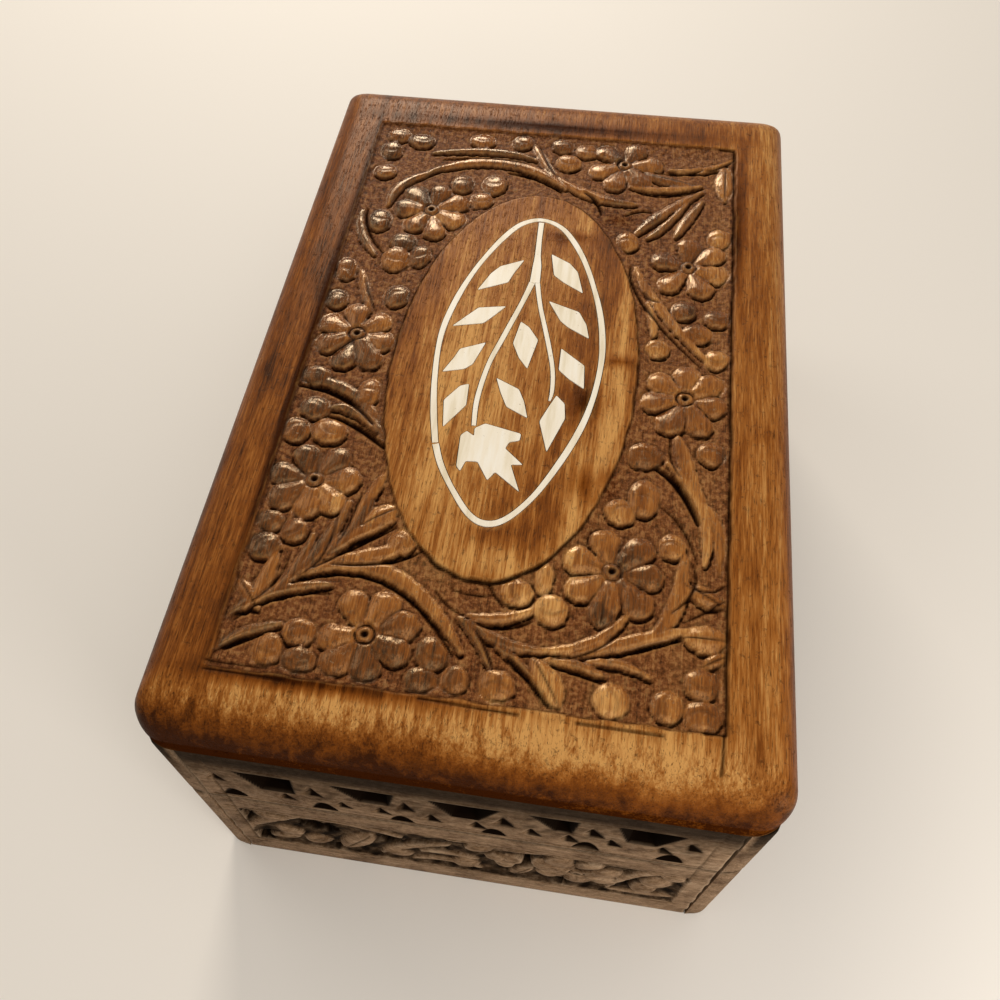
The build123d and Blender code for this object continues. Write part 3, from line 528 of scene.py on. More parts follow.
def carve_lid(x, y):
    """Height, ground, grime and painted shade, polish and tone of the lid's face,
    with y measured from the front edge.

    Ground is 1 on the sunk floor, polish is 1 on a motif, and tone makes a motif paler or darker."""
    motifs, shifted = lid_motifs(x, y), lid_motifs(x - near_shift[0], y + near_shift[1])
    border, from_oval = inside_field(x, y)
    inward = np.minimum(border, from_oval)

    planed = -0.07 + 0.04 * ripple(x, y, 21.0)
    slope = np.clip(inward / 3.5, 0, 1)
    floor_height = -border_depth - (ground_depth - border_depth) * slope + gouged(x, y)
    floor_height = np.maximum(floor_height, planed - 1.4 * np.clip(inward, 0, None))
    height, grime_and_shade = stand_on(motifs, shifted, floor_height)
    in_field = inward > 0
    height = np.where(in_field, height, planed)
    grime_and_shade = grime_and_shade * in_field
    # The knife line round the field and the oval, widest at the oval's near end, painted dark as painted
    # shade and grime
    at_oval = from_oval < border
    width = np.where(at_oval, 0.38 + 0.3 * np.clip((50 - y) / 10, 0, 1), np.where(x > 45, 0.5, 0.34))
    width = width * (1 + 0.35 * ripple(x, y, 7.0))
    line = np.clip(1 - np.abs(inward - 0.1) / width, 0, 1)
    height = height - line_depth * width * line
    grime_and_shade = np.maximum(grime_and_shade, np.where(at_oval | (x > 45), 1.5, 0.8) * line)
    # The scores are painted dark, as painted shade and grime
    for (ax, ay), (bx, by) in scores:
        gap, _ = motifs.along_curve((ax, ay), ((ax + bx) / 2, (ay + by) / 2), (bx, by), steps=1)
        stroke = np.clip(1 - gap / score_half_width, 0, 1)
        height, grime_and_shade = height - score_depth * stroke, np.maximum(grime_and_shade, 1.3 * stroke)
    outside = np.clip(motifs.edge / 0.5 + 0.5, 0, 1)
    polish = in_field * (1 - outside)
    return height, in_field * outside, np.clip(grime_and_shade, 0, 1), polish, polish * (motifs.tone - 0.5)


# %% [markdown]
# ## The lid board
# The plank is one closed mesh. A bevelled block would have the right outline, but its bevel is one radius
# all round, and this plank is worn 12 mm round at the two short ends and 7 mm round along the sides. So
# it starts as a flat grid. The cells over the flat top stay where they are, and the outer rings of cells
# bend over the edges. The pockets for the inlay are cut while the mesh is still light. Only then are the
# carved cells divided again and pushed down, so that the knife work is sharp and the plain wood stays
# light.

# %% Shape of the plank
end_round, side_round, under_round = 12.0, 7.0, 1.5
corner_radius = 8.0
flat_x, flat_y = half_width - side_round, half_length - end_round
round_rings, under_rings = 10, 2
rings = round_rings + under_rings + 1
lid_columns, lid_rows = 74, 118


def edge_profile(ring, radius):
    """How far out and how far down a ring lies, for an edge that is worn to this radius."""
    angle = np.clip(ring / round_rings, 0, 1) * pi / 2
    out, down = radius * np.sin(angle), radius * (1 - np.cos(angle))
    drop = np.clip(ring - round_rings, 0, 1)
    down = down + drop * (lid_top - lid_under - radius - under_round)
    tuck = np.clip((ring - round_rings - 1) / under_rings, 0, 1) * pi / 2
    return out - under_round * (1 - np.cos(tuck)), down + under_round * np.sin(tuck)


def wrap_lid(u, v):
    """Bends the flat grid over the plank. u and v are millimetres on the flat, then ring numbers."""
    over_u, over_v = np.clip(np.abs(u) - flat_x, 0, None), np.clip(np.abs(v) - flat_y, 0, None)
    ring = np.maximum(over_u, over_v)
    out_x, down_x = edge_profile(ring, side_round)
    out_y, down_y = edge_profile(ring, end_round)
    radius = corner_radius * np.clip(ring / round_rings, 0, 1) ** 0.7
    reach_x, reach_y = flat_x + out_x - radius, flat_y + out_y - radius
    safe = np.maximum(ring, 1e-6)
    angle = np.where(over_u >= over_v, over_v / safe, 2 - over_u / safe) * pi / 4
    in_corner = (over_u > 0) & (over_v > 0)
    x = np.where(over_u > 0, reach_x + radius, np.abs(u) / flat_x * reach_x)
    y = np.where(over_v > 0, reach_y + radius, np.abs(v) / flat_y * reach_y)
    x = np.where(in_corner, reach_x + radius * np.cos(angle), x)
    y = np.where(in_corner, reach_y + radius * np.sin(angle), y)
    blend = np.where(in_corner, np.sin(angle) ** 2, over_v > 0)
    return np.sign(u) * x, np.sign(v) * y, -(down_x + (down_y - down_x) * blend)


def ruled_grid(bm, columns, rows):
    """A flat grid whose lines stand at the given places, which need not be evenly spaced."""
    bmesh.ops.create_grid(bm, x_segments=len(columns) - 1, y_segments=len(rows) - 1, size=0.5)
    for vert in bm.verts:
        column = round((vert.co.x + 0.5) * (len(columns) - 1))
        row = round((vert.co.y + 0.5) * (len(rows) - 1))
        vert.co = (columns[column], rows[row], 0)


def lid_line(cells, flat):
    """Grid positions along one axis: even cells on the flat, then one step a ring."""
    tail = flat + np.arange(1, rings + 1)
    return np.concatenate([-tail[::-1], np.linspace(-flat, flat, cells + 1), tail])


# %% The plank, still uncut
def finish_mesh(bm, name, body, replaced):
    """Turns a bmesh into a piece that rides on a body and stands for a CAD node."""
    mesh = bpy.data.meshes.new(name)
    bm.to_mesh(mesh)
    bm.free()
    piece = bpy.data.objects.new(name, mesh)
    bpy.context.scene.collection.objects.link(piece)
    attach(piece, body)
    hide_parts(replaced)
    return piece


bm = bmesh.new()
ruled_grid(bm, lid_line(lid_columns, flat_x), lid_line(lid_rows, flat_y))
places = np.array([vert.co[:] for vert in bm.verts])
for vert, place in zip(bm.verts, np.column_stack(wrap_lid(places[:, 0], places[:, 1]))):
    vert.co = (Vector(place) + Vector((0, 0, lid_top))) * mm
bmesh.ops.remove_doubles(bm, verts=bm.verts, dist=1e-6)
bmesh.ops.holes_fill(bm, edges=[edge for edge in bm.edges if edge.is_boundary])
bmesh.ops.recalc_face_normals(bm, faces=bm.faces)
lid_board = finish_mesh(bm, "carved_lid_board", "lid", "lid_top_board")
print("plank", len(lid_board.data.polygons), "faces")

# %% [markdown]
# ## The inlay
# The white pieces are sawn from a sheet 1.5 mm thick, laid in pockets that were cut to their outlines,
# and sanded flush. A thin dark line of glue shows round each one. White paint on the wood would look the
# same from far off, but real pieces catch the light at their edges. Each piece is drawn as a flat
# outline, its corners are softened a little, and then it is thickened downwards. A slightly larger copy
# of each cuts the pocket out of the lid. The ring was bent from one strip, and a hairline shows where
# its ends meet.

# %% Outlines of the inlay, in millimetres
inlay_thickness = 1.5
glue_line = 0.16
corner_softening, edge_softening = 0.35, 0.08
ring_width, ring_unevenness = 1.34, 0.16
ring_line = [
    (-15.05, 72.45), (-16.9, 81.0), (-18.3, 90.0), (-19.15, 100.0), (-18.9, 108.0), (-17.3, 117.0),
    (-15.0, 125.3), (-12.2, 132.6), (-8.7, 139.8), (-4.9, 145.1), (0.0, 147.3), (5.3, 145.2), (9.4, 139.8),
    (12.8, 132.8), (15.6, 124.6), (17.9, 115.8), (19.2, 106.5), (19.3, 98.5), (18.3, 89.0), (16.2, 80.0),
    (12.6, 70.4), (8.1, 61.2), (3.2, 54.9), (-1.0, 53.1), (-5.0, 55.1), (-9.6, 61.2), (-12.9, 66.9),
    (-14.9, 72.1),
]
stem_lines = {
    "main_stem": ([(0.15, 146.3), (0.3, 140.0), (0.6, 134.0), (0.85, 130.0), (0.95, 124.34)],
                  [1.4, 1.3, 1.5, 2.2, 2.5]),
    "left_stem": ([(0.3, 124.32), (-1.2, 117.6), (-4.2, 106.0), (-6.6, 96.5), (-7.7, 86.0), (-7.3, 78.3)],
                  [1.5, 1.2, 1.25, 1.1, 1.15, 1.0]),
    "right_stem": ([(1.68, 124.32), (3.3, 116.4), (6.2, 106.0), (8.3, 97.4), (8.95, 91.0), (8.7, 87.6)],
                   [1.2, 1.05, 1.1, 1.0, 0.95, 0.5]),
}
leaf_corners = {
    "left_1": [(-12.8, 120.1), (-5.6, 123.7), (-4.6, 127.0), (-2.6, 132.0), (-8.3, 129.0), (-10.3, 126.2)],
    "left_2": [(-17.0, 107.4), (-9.7, 109.3), (-8.0, 111.4), (-5.0, 115.5), (-11.6, 114.2),
               (-14.0, 111.2)],
    "left_3": [(-17.0, 92.9), (-12.0, 94.4), (-10.3, 96.1), (-8.2, 103.2), (-14.0, 100.4), (-15.0, 97.4)],
    "left_4": [(-14.1, 77.0), (-9.9, 83.8), (-10.2, 90.1), (-12.2, 89.2), (-15.2, 84.6)],
    "right_1": [(4.0, 135.0), (5.4, 127.6), (8.0, 125.4), (13.1, 122.3), (11.2, 129.4), (9.0, 132.2)],
    "right_2": [(5.1, 118.6), (8.6, 112.4), (10.6, 110.6), (15.9, 107.6), (14.9, 112.0), (12.8, 115.9)],
    "right_3": [(9.7, 103.7), (9.8, 97.0), (12.4, 94.6), (16.1, 92.1), (15.6, 99.1), (12.6, 101.4)],
    "middle_1": [(-0.8, 111.0), (-1.8, 103.8), (0.2, 99.4), (2.5, 96.4), (4.0, 105.6), (1.4, 109.4)],
    "middle_2": [(-4.2, 92.7), (-2.6, 88.4), (-0.8, 84.6), (4.3, 82.0), (3.0, 86.6), (1.4, 90.0)],
    "tip": [(10.1, 89.4), (8.6, 85.6), (7.1, 81.4), (9.6, 73.3), (12.7, 83.0), (12.2, 87.2)],
}
lobed_leaf = [
    (-7.0, 77.6), (-4.8, 79.2), (3.5, 77.4), (3.4, 75.5), (1.2, 74.8), (0.5, 73.0), (4.9, 69.1),
    (2.3, 68.8), (5.0, 62.0), (-0.8, 66.4), (-2.2, 64.0), (-5.0, 68.6), (-7.6, 68.4), (-8.4, 65.6),
    (-9.4, 66.8), (-9.8, 75.2), (-8.6, 76.6), (-6.8, 75.4),
]


# %% Inlay pieces and their pockets
def lid_point(point):
    """A place on the lid, from ruler millimetres to the frame's metres."""
    return Vector((point[0], point[1] - half_length, lid_top)) * mm


def smooth_line(points, widths, steps=6):
    """A smooth line through the points, with its width at each step."""
    line = []
    points = [Vector(point) for point in points]
    for number in range(len(points) - 1):
        a, b = points[number], points[number + 1]
        before, after = points[max(number - 1, 0)], points[min(number + 2, len(points) - 1)]
        for step in range(steps):
            t = step / steps
            bend = (b - before) * t * (1 - t) ** 2 / 2 - (after - a) * t * t * (1 - t) / 2
            place = a + (b - a) * (3 * t * t - 2 * t ** 3) + bend
            line.append((place, widths[number] + (widths[number + 1] - widths[number]) * t))
    return line + [(points[-1], widths[-1])]


def flat_strip(bm, line):
    """A strip of changing width, drawn by pushing its starting edge along the line."""
    edge = None
    for number, (here, width) in enumerate(line):
        along = line[min(number + 1, len(line) - 1)][0] - line[max(number - 1, 0)][0]
        aside = Vector((-along.y, along.x)).normalized() * width / 2
        if edge is None:
            left, right = bm.verts.new(lid_point(here + aside)), bm.verts.new(lid_point(here - aside))
            edge = bm.edges.new([left, right])
            continue
        pushed = bmesh.ops.extrude_edge_only(bm, edges=[edge])["geom"]
        new_edge = next(part for part in pushed if isinstance(part, bmesh.types.BMEdge))
        left, right = sorted(new_edge.verts, key=lambda vert: (vert.co - left.co).length)
        left.co, right.co = lid_point(here + aside), lid_point(here - aside)
        edge = new_edge


def draw_inlay(bm, name):
    """Draws the flat outline of one inlay piece."""
    if name == "ring":
        widths = [ring_width + ring_unevenness * sin(1.7 * number) for number in range(len(ring_line))]
        flat_strip(bm, smooth_line(ring_line, widths))
    elif name in stem_lines:
        flat_strip(bm, smooth_line(*stem_lines[name]))
    else:
        corners = lobed_leaf if name == "plane_leaf" else leaf_corners[name.removeprefix("leaf_")]
        verts = [bm.verts.new(lid_point(corner)) for corner in corners]
        bm.faces.new(verts)
        bmesh.ops.bevel(bm, geom=verts, offset=corner_softening * mm, affect="VERTICES", segments=2,
                        profile=0.5, material=-1)


def thicken(bm, softening=0.0, spread=0.0):
    """Gives a flat outline its thickness downwards, softens its upper edge and spreads its sides."""
    bmesh.ops.recalc_face_normals(bm, faces=bm.faces)
    if sum(face.normal.z for face in bm.faces) < 0:
        bmesh.ops.reverse_faces(bm, faces=bm.faces)
    lower = bmesh.ops.extrude_face_region(bm, geom=bm.faces[:], use_keep_orig=True)["geom"]
    lower_verts = [part for part in lower if isinstance(part, bmesh.types.BMVert)]
    bmesh.ops.translate(bm, vec=(0, 0, -inlay_thickness * mm), verts=lower_verts)
    bmesh.ops.recalc_face_normals(bm, faces=bm.faces)
    bm.normal_update()
    moves = {}
    for vert in bm.verts:
        sides = [face.normal for face in vert.link_faces if abs(face.normal.z) < 0.5]
        moves[vert] = sum(sides, Vector()).normalized() * spread * mm if sides else Vector()
    for vert, move in moves.items():
        vert.co += move
    if softening:
        rim = [edge for edge in bm.edges if len(edge.link_faces) == 2
               and sorted(round(face.normal.z) for face in edge.link_faces) == [0, 1]]
        bmesh.ops.bevel(bm, geom=rim, offset=softening * mm, affect="EDGES", segments=2, profile=0.5,
                        material=-1, clamp_overlap=True)


# %% Pockets for the inlay
def cut_away(board, cutters, crossing=False):
    """Takes the cutters' space out of a board. Cutters that cross one another are joined first."""
    mesh = bpy.data.meshes.new("cutter")
    cutters.to_mesh(mesh)
    cutters.free()
    cutter = bpy.data.objects.new("cutter", mesh)
    bpy.context.scene.collection.objects.link(cutter)
    cut = board.modifiers.new("cut", "BOOLEAN")
    cut.operation, cut.solver, cut.object, cut.use_self = "DIFFERENCE", "EXACT", cutter, crossing
    evaluated = board.evaluated_get(bpy.context.evaluated_depsgraph_get())
    made = bpy.data.meshes.new_from_object(evaluated)
    board.modifiers.clear()
    board.data = made
    bpy.data.objects.remove(cutter)


inlay_names = ["ring", *stem_lines, "plane_leaf"] + [f"leaf_{name}" for name in leaf_corners]
inlay_pieces = []
# A pocket's cutter stands out of the lid and reaches a little under its piece
above, below = 0.5, -0.05
pockets = bmesh.new()
for name in inlay_names:
    bm = bmesh.new()
    draw_inlay(bm, name)
    thicken(bm, softening=edge_softening)
    inlay_pieces.append(finish_mesh(bm, f"white_{name}", "lid", f"inlay_{name}"))
    bm = bmesh.new()
    draw_inlay(bm, name)
    thicken(bm, spread=glue_line)
    for vert in bm.verts:
        vert.co.z += (above if vert.co.z > (lid_top - 0.1) * mm else below) * mm
    pocket = bpy.data.meshes.new("pocket")
    bm.to_mesh(pocket)
    bm.free()
    pockets.from_mesh(pocket)
cut_away(lid_board, pockets, crossing=True)
print(len(inlay_pieces), "inlay pieces, plank now", len(lid_board.data.polygons), "faces")

# %% [markdown]
# ## Cutting the relief
# Each board is refined where the knife went, and pushed in by the heights above. A bump texture would be
# lighter, but its edges stay flat where they should stand up against the light. The finished surface
# then tells how hollow it is: a vertex that lies below the average of its neighbours is in a hollow, and
# one above is on a ridge. That number is kept for the materials, which paint hollows dark, as painted
# shade and dirt, and ridges pale, as worn wood and a painted highlight.

# %% Refine, carve and measure hollows
usual_parts, front_parts = 4, 5         # the front wall is seen from close by, so it is finer
deep_offset, fine_cell = 0.16, 0.5


def refine(board, is_carved, parts):
    """Divides the carved faces of a board into parts x parts cells."""
    bm = bmesh.new()
    bm.from_mesh(board.data)
    edges = {edge for face in bm.faces if is_carved(face) for edge in face.edges}
    bmesh.ops.subdivide_edges(bm, edges=list(edges), cuts=parts - 1, use_grid_fill=True)
    bm.to_mesh(board.data)
    bm.free()


def points_of(mesh):
    """The mesh's vertices in millimetres, one row each."""
    flat = np.empty(len(mesh.vertices) * 3)
    mesh.vertices.foreach_get("co", flat)
    return flat.reshape(-1, 3) / mm


def move_points(mesh, points):
    """Writes vertices back, given in millimetres."""
    mesh.vertices.foreach_set("co", (points * mm).ravel())
    mesh.update()


def keep_values(mesh, name, values):
    """Keeps one number per vertex under a name, for the materials to read."""
    attribute = mesh.attributes.new(name, "FLOAT", "POINT")
    attribute.data.foreach_set("value", np.asarray(values, dtype=np.float32))


def keep_hollowness(mesh, passes=2):
    """Keeps how hollow the surface is at each vertex: about 1 in a cut, and -1 on a ridge."""
    points = points_of(mesh)
    ends = np.empty(len(mesh.edges) * 2, dtype=np.int64)
    mesh.edges.foreach_get("vertices", ends)
    ends = ends.reshape(-1, 2)
    both = np.concatenate([ends, ends[:, ::-1]])
    tally = np.maximum(np.bincount(both[:, 0], minlength=len(points)), 1)

    def average(values):
        return np.bincount(both[:, 0], weights=values[both[:, 1]], minlength=len(points)) / tally

    normals = np.empty(len(points) * 3)
    mesh.vertices.foreach_get("normal", normals)
    normals = normals.reshape(-1, 3)
    smooth = points.copy()
    for _ in range(passes):
        smooth = np.column_stack([average(smooth[:, axis]) for axis in range(3)])
    # A coarse cell lies farther off the curve, so its offset counts for less
    lengths = np.linalg.norm(points[both[:, 0]] - points[both[:, 1]], axis=1)
    cell = np.bincount(both[:, 0], weights=lengths, minlength=len(points)) / tally
    full_depth = deep_offset * np.maximum(cell / fine_cell, 1) ** 2
    hollow = ((smooth - points) * normals).sum(axis=1) / full_depth
    hollow = 0.5 * hollow + 0.5 * average(hollow)
    keep_values(mesh, "hollow", np.clip(hollow, -1, 1.5))


# %% Carve the plank
def shade_smooth(mesh, angle=75):
    """Shades a mesh smooth, apart from the edges that are sharper than the angle."""
    mesh.polygons.foreach_set("use_smooth", [True] * len(mesh.polygons))
    mesh.set_sharp_from_angle(angle=radians(angle))


def report(piece):
    """Prints a mesh's triangles and how many of its edges don't join two faces."""
    bm = bmesh.new()
    bm.from_mesh(piece.data)
    loose = sum(1 for edge in bm.edges if not edge.is_manifold)
    print(piece.name, sum(len(face.verts) - 2 for face in bm.faces), "triangles,", loose, "open edges")
    bm.free()


def on_lid_field(face):
    """Whether a face of the plank lies in the field outside the oval, or under the scores by its corner."""
    x, y, z = face.calc_center_median() / mm
    y += half_length
    if face.normal.z < 0.8 or z < lid_top - 1.4:
        return False
    if y < field_front and abs(x - 48.8) < 1.5:
        return True
    share = hypot((x - oval_middle[0]) / (oval_half_width - 1.2),
                  (y - oval_middle[1]) / (oval_half_length - 1.2))
    in_field = abs(x) < field_half_width + 0.9 and field_front - 2.0 < y < field_back + 1.0
    return in_field and share > 1


refine(lid_board, on_lid_field, usual_parts)
points = points_of(lid_board.data)
upward = points[:, 2] > lid_top - 1.6
height, ground, grime_and_shade, polish, tone = averaged(carve_lid, points[:, 0], points[:, 1] + half_length)
points[:, 2] += height * upward
move_points(lid_board.data, points)
for kind, values in {"ground": ground, "grime_and_shade": grime_and_shade, "polish": polish, "tone": tone}.items():
    keep_values(lid_board.data, kind, values * upward)
keep_hollowness(lid_board.data)
shade_smooth(lid_board.data)
report(lid_board)

# %% [markdown]
# ## Colour differences in the plank
# The plank is darker on the left and paler on the right, streaks of golden sapwood run through the oval
# and the front, and old stains stay beside them. On the worn front edge the pale patches are also a
# painted highlight. A noise alone would put such patches anywhere, so they are listed as places. They
# are kept as numbers on the vertices, and the material breaks their edges up along the grain. The worn
# edges are painted darker the farther down they go, as end grain that has taken more stain and as
# painted shade.

# %% Sapwood, a painted highlight and stains: middle, half width and half length in millimetres
# The patches at y 8 and 9 lie on the worn front edge, partly sapwood and partly a painted highlight
sapwood_and_highlights = [
    (23.2, 98.0, 3.4, 34.0), (12.2, 147.0, 2.0, 7.0), (17.5, 62.0, 2.6, 22.0), (3.0, 44.0, 12.0, 6.0),
    (-12.0, 41.0, 7.0, 3.5), (16.0, 18.0, 3.0, 8.0), (10.0, 37.0, 6.0, 5.0), (27.0, 18.0, 4.0, 5.0),
    (20.0, 8.0, 34.0, 6.0), (-24.0, 9.0, 30.0, 4.0), (-34.0, 55.0, 3.0, 6.0), (-32.0, 146.0, 4.0, 4.0),
    (-11.0, 95.0, 15.0, 44.0),
]
stains = [
    (23.6, 101.5, 3.4, 1.6), (24.0, 66.0, 1.6, 5.0), (8.0, 142.0, 5.0, 2.0), (17.0, 88.0, 3.8, 6.0),
    (-50.2, 100.0, 0.9, 80.0), (50.5, 150.0, 1.4, 24.0), (-30.0, 13.0, 22.0, 1.6), (20.0, 151.0, 5.0, 3.0),
    (0.0, 186.0, 40.0, 2.0), (18.0, 66.0, 3.0, 5.0),
]


def patches(x, y, spots):
    """Soft oval patches, from 0 to 1."""
    total = np.zeros(x.shape)
    for cx, cy, wide, long in spots:
        total = np.maximum(total, np.exp(-((x - cx) / wide) ** 2 - ((y - cy) / long) ** 2))
    return total


points = points_of(lid_board.data)
drop = lid_top - points[:, 2]
sap_and_highlight = patches(points[:, 0], points[:, 1] + half_length, sapwood_and_highlights) * np.clip(1.3 - drop / 4.5, 0, 1)
stain = patches(points[:, 0], points[:, 1] + half_length, stains)
# The worn edges are painted darker the farther down they go: end-grain stain and painted shade
end_grain_and_shade = 1.1 * np.clip((drop - 1.4) / 8.5, 0, 1)
keep_values(lid_board.data, "sap_and_highlight", sap_and_highlight)
keep_values(lid_board.data, "stain", np.maximum(stain, end_grain_and_shade))
print("sapwood on", round(100 * float((sap_and_highlight > 0.5).mean())), "percent of the plank's vertices")

# %% [markdown]
# ## The walls
# Each wall is one board, and the lid and the body have four each. The long boards cover the ends of the
# short ones, so their end grain shows at the corners, where the edge is worn round. The lid's walls carry
# a band of chip cuts: deep hanging troughs, arches between them, and small three-sided chips. The
# body's walls carry a sunk band with flowers, buds and leaves. Both are height maps again, as on the
# lid. Places on a wall are millimetres, x from its middle as one faces it and z from the table.

# %% Chip cuts of the lid's walls
# Troughs: left, right and height of the wide top, then the same of the narrow foot
front_troughs = [
    (-46.0, -34.3, 67.7, -42.0, -35.0, 58.0), (-25.2, -12.7, 68.0, -20.2, -14.3, 60.0),
    (-4.8, 9.0, 68.0, -0.6, 4.8, 59.5), (16.0, 25.2, 68.5, 21.0, 24.2, 60.5),
    (33.6, 46.0, 69.0, 36.0, 41.5, 60.0),
]
# Arches and chips: middle, width, foot and point
front_arches = [
    (-49.5, 5.5, 50.0, 54.5), (-29.3, 6.0, 48.9, 54.0), (-12.0, 5.5, 48.9, 53.0), (8.2, 5.5, 50.0, 54.0),
    (28.0, 6.0, 49.5, 55.0), (45.7, 6.0, 50.0, 55.0),
]
front_chips = [
    (-52.0, 4.4, 60.0, 66.5), (-31.0, 4.8, 58.5, 67.0), (-11.0, 4.6, 58.0, 67.0), (10.0, 4.8, 58.0, 66.5),
    (28.5, 5.0, 60.0, 68.0), (48.5, 4.4, 60.5, 67.5), (-37.5, 4.4, 53.0, 58.0), (-25.0, 4.4, 53.0, 57.5),
    (-16.5, 4.4, 53.0, 58.0), (-5.5, 4.4, 53.0, 60.0), (4.3, 4.4, 53.0, 59.0), (16.0, 4.4, 54.0, 60.0),
    (24.0, 4.4, 53.5, 60.0), (32.8, 4.4, 55.0, 61.0), (43.3, 4.4, 55.5, 61.0),
]


def chip(x, z, corners, slopes, deepest):
    """Depth of a chip with straight sides, and how far inside its outline each point lies.

    Corners run anticlockwise and each side has its own slope."""
    depth = np.full(x.shape, float(deepest))
    inside = np.full(x.shape, far_away)
    for (ax, az), (bx, bz), slope in zip(corners, corners[1:] + corners[:1], slopes):
        inward = ((bx - ax) * (z - az) - (bz - az) * (x - ax)) / hypot(bx - ax, bz - az)
        depth = np.minimum(depth, slope * inward)
        inside = np.minimum(inside, inward)
    return np.clip(depth, 0, None), inside


def repeated_cuts(length, pitch=19.7):
    """The same band for a wall of any length: troughs with an arch and a tall chip between them."""
    cells = max(1, round(length / pitch))
    step = length / cells
    edges = [-length / 2 + number * step + 0.8 * sin(2.3 * number) for number in range(cells + 1)]
    middles = [(a + b) / 2 for a, b in zip(edges, edges[1:])]
    troughs = [(m - 6.2, m + 6.2, 68.3 + 0.4 * sin(m), m - 3.1, m + 3.0, 60.0 + 0.6 * sin(2 * m))
               for m in middles]
    arches = [(edge, 6.0, 49.5 + 0.4 * sin(edge), 54.4) for edge in edges]
    chips = [(edge, 4.6, 58.6, 67.2) for edge in edges]
    chips += [(m + way * 4.9, 4.4, 53.3 + 0.4 * sin(m + way), 59.4) for m in middles for way in (-1, 1)]
    return troughs, arches, chips


# %% Heights of the chip cuts
trough_slopes = (7, 2.5, 7, 2.5)
chip_slopes = (3.0, 0.6, 0.6)
chip_depth = 1.5


def chip_band(x, z, troughs, arches, chips, trough_depth):
    """Depth, and grime and painted shade, of all the chip cuts of one wall."""
    depth, grime_and_shade = np.zeros(x.shape), np.zeros(x.shape)
    for left, right, high, foot_left, foot_right, low in troughs:
        corners = [(foot_left, low), (foot_right, low), (right, high), (left, high)]
        cut, inside = chip(x, z, corners, trough_slopes, trough_depth)
        depth = np.maximum(depth, cut)
        # A trough is painted dark: painted shade and grime
        grime_and_shade = np.maximum(grime_and_shade, np.clip((inside + 0.6) / 0.2, 0, 1))
    for middle, width, low, high in arches:
        # A stab along the straight foot, and a stroke down to it from a curved edge
        aside = np.abs(x - middle)
        rise = (high - low) * (1 - ((x - middle) / (width / 2)) ** 2)
        inside = np.clip((low + rise - z) / (high - low), 0, 1) * (z > low) * (aside < width / 2)
        depth = np.maximum(depth, 0.3 * (high - low) * inside)
        # The arch is painted black as painted shade on its ledge
        arch_shade = (z > low - 0.4) & (z < low + 1.06 * rise) & (aside < width / 2 + 0.2)
        grime_and_shade = np.maximum(grime_and_shade, arch_shade)
    for middle, width, low, high in chips:
        # Three facets that meet in a point, and the one away from the light is painted darkest, as painted
        # shade
        corners = [(middle - width / 2, low), (middle + width / 2, low), (middle + 0.1, high)]
        cut, inside = chip(x, z, corners, chip_slopes, chip_depth)
        depth = np.maximum(depth, cut)
        turned_away = np.clip((x - middle + 0.9) / 0.5, 0, 1)
        low_down = np.clip(1.4 - (z - low) / (0.5 * (high - low)), 0, 1)
        grime_and_shade = np.maximum(grime_and_shade, np.clip((inside + 0.5) / 0.3, 0, 1) * turned_away * low_down)
    return depth, grime_and_shade


# %% Flowers of the body's walls
wall_petal_radius = 3.5
front_flowers = [
    ((28.0, 23.2), [(28.4, 16.8), (21.6, 18.8), (20.4, 26.0), (23.4, 31.4), (30.6, 31.6), (35.0, 26.6),
                    (34.6, 19.6)]),
]
front_buds = [
    (46.5, 25.2, 3.8, 3.7, 4.6), (44.2, 17.8, 3.3, 3.2, 1.6), (4.6, 32.2, 3.6, 3.0, 4.7),
    (8.4, 26.0, 2.7, 3.2, 4.0), (12.4, 26.4, 2.7, 3.2, 5.4), (10.6, 21.6, 2.6, 3.0, 1.6),
    (-46.0, 32.0, 3.8, 3.2, 4.7), (-43.0, 20.4, 3.7, 3.6, 4.7), (-36.2, 16.2, 3.5, 3.2, 1.6),
    (49.4, 33.0, 3.2, 2.8, 1.6), (1.0, 16.0, 3.6, 3.2, 4.7), (-15.6, 15.6, 3.6, 3.4, 4.7),
]
front_leaves = [
    ((-30.4, 11.6), (-21.0, 29.6), 7.0), ((-49.6, 12.6), (-40.6, 15.6), 3.6),
    ((12.0, 12.0), (17.6, 21.6), 4.0),
]
front_stems = [
    ((-54.0, 19.0), (-48.0, 26.6), (-38.0, 35.4), 3.4), ((-38.0, 35.4), (-26.0, 36.2), (-14.0, 30.6), 3.4),
    ((-20.0, 12.6), (-14.0, 22.0), (-2.6, 30.6), 3.2), ((-12.0, 12.0), (-4.0, 15.6), (5.0, 12.4), 2.8),
    ((5.0, 36.0), (12.0, 35.2), (20.0, 36.4), 2.8), ((36.0, 13.0), (41.6, 30.0), (52.0, 36.8), 3.0),
    ((-10.0, 20.4), (-3.0, 22.6), (4.0, 21.0), 2.6), ((36.0, 12.0), (46.0, 12.8), (53.6, 15.0), 2.6),
]
# Places where the gouge went deeper: middle, half width and half height
front_pits = [
    (-34.6, 27.6, 4.6, 3.4), (-17.0, 25.6, 2.6, 3.6), (-8.0, 26.4, 4.6, 3.0), (-3.0, 34.6, 3.0, 2.4),
    (15.6, 27.0, 2.2, 8.0), (39.6, 24.0, 2.4, 7.0), (-51.6, 13.6, 3.0, 2.6), (-53.0, 31.0, 2.4, 4.0),
    (24.6, 12.2, 2.6, 1.4), (33.6, 35.6, 3.0, 1.6), (-30.6, 12.0, 1.8, 1.4), (-2.0, 12.4, 1.8, 1.2),
]
band_low, band_high = 10.4, 37.8
wall_cut_slope = 7.0


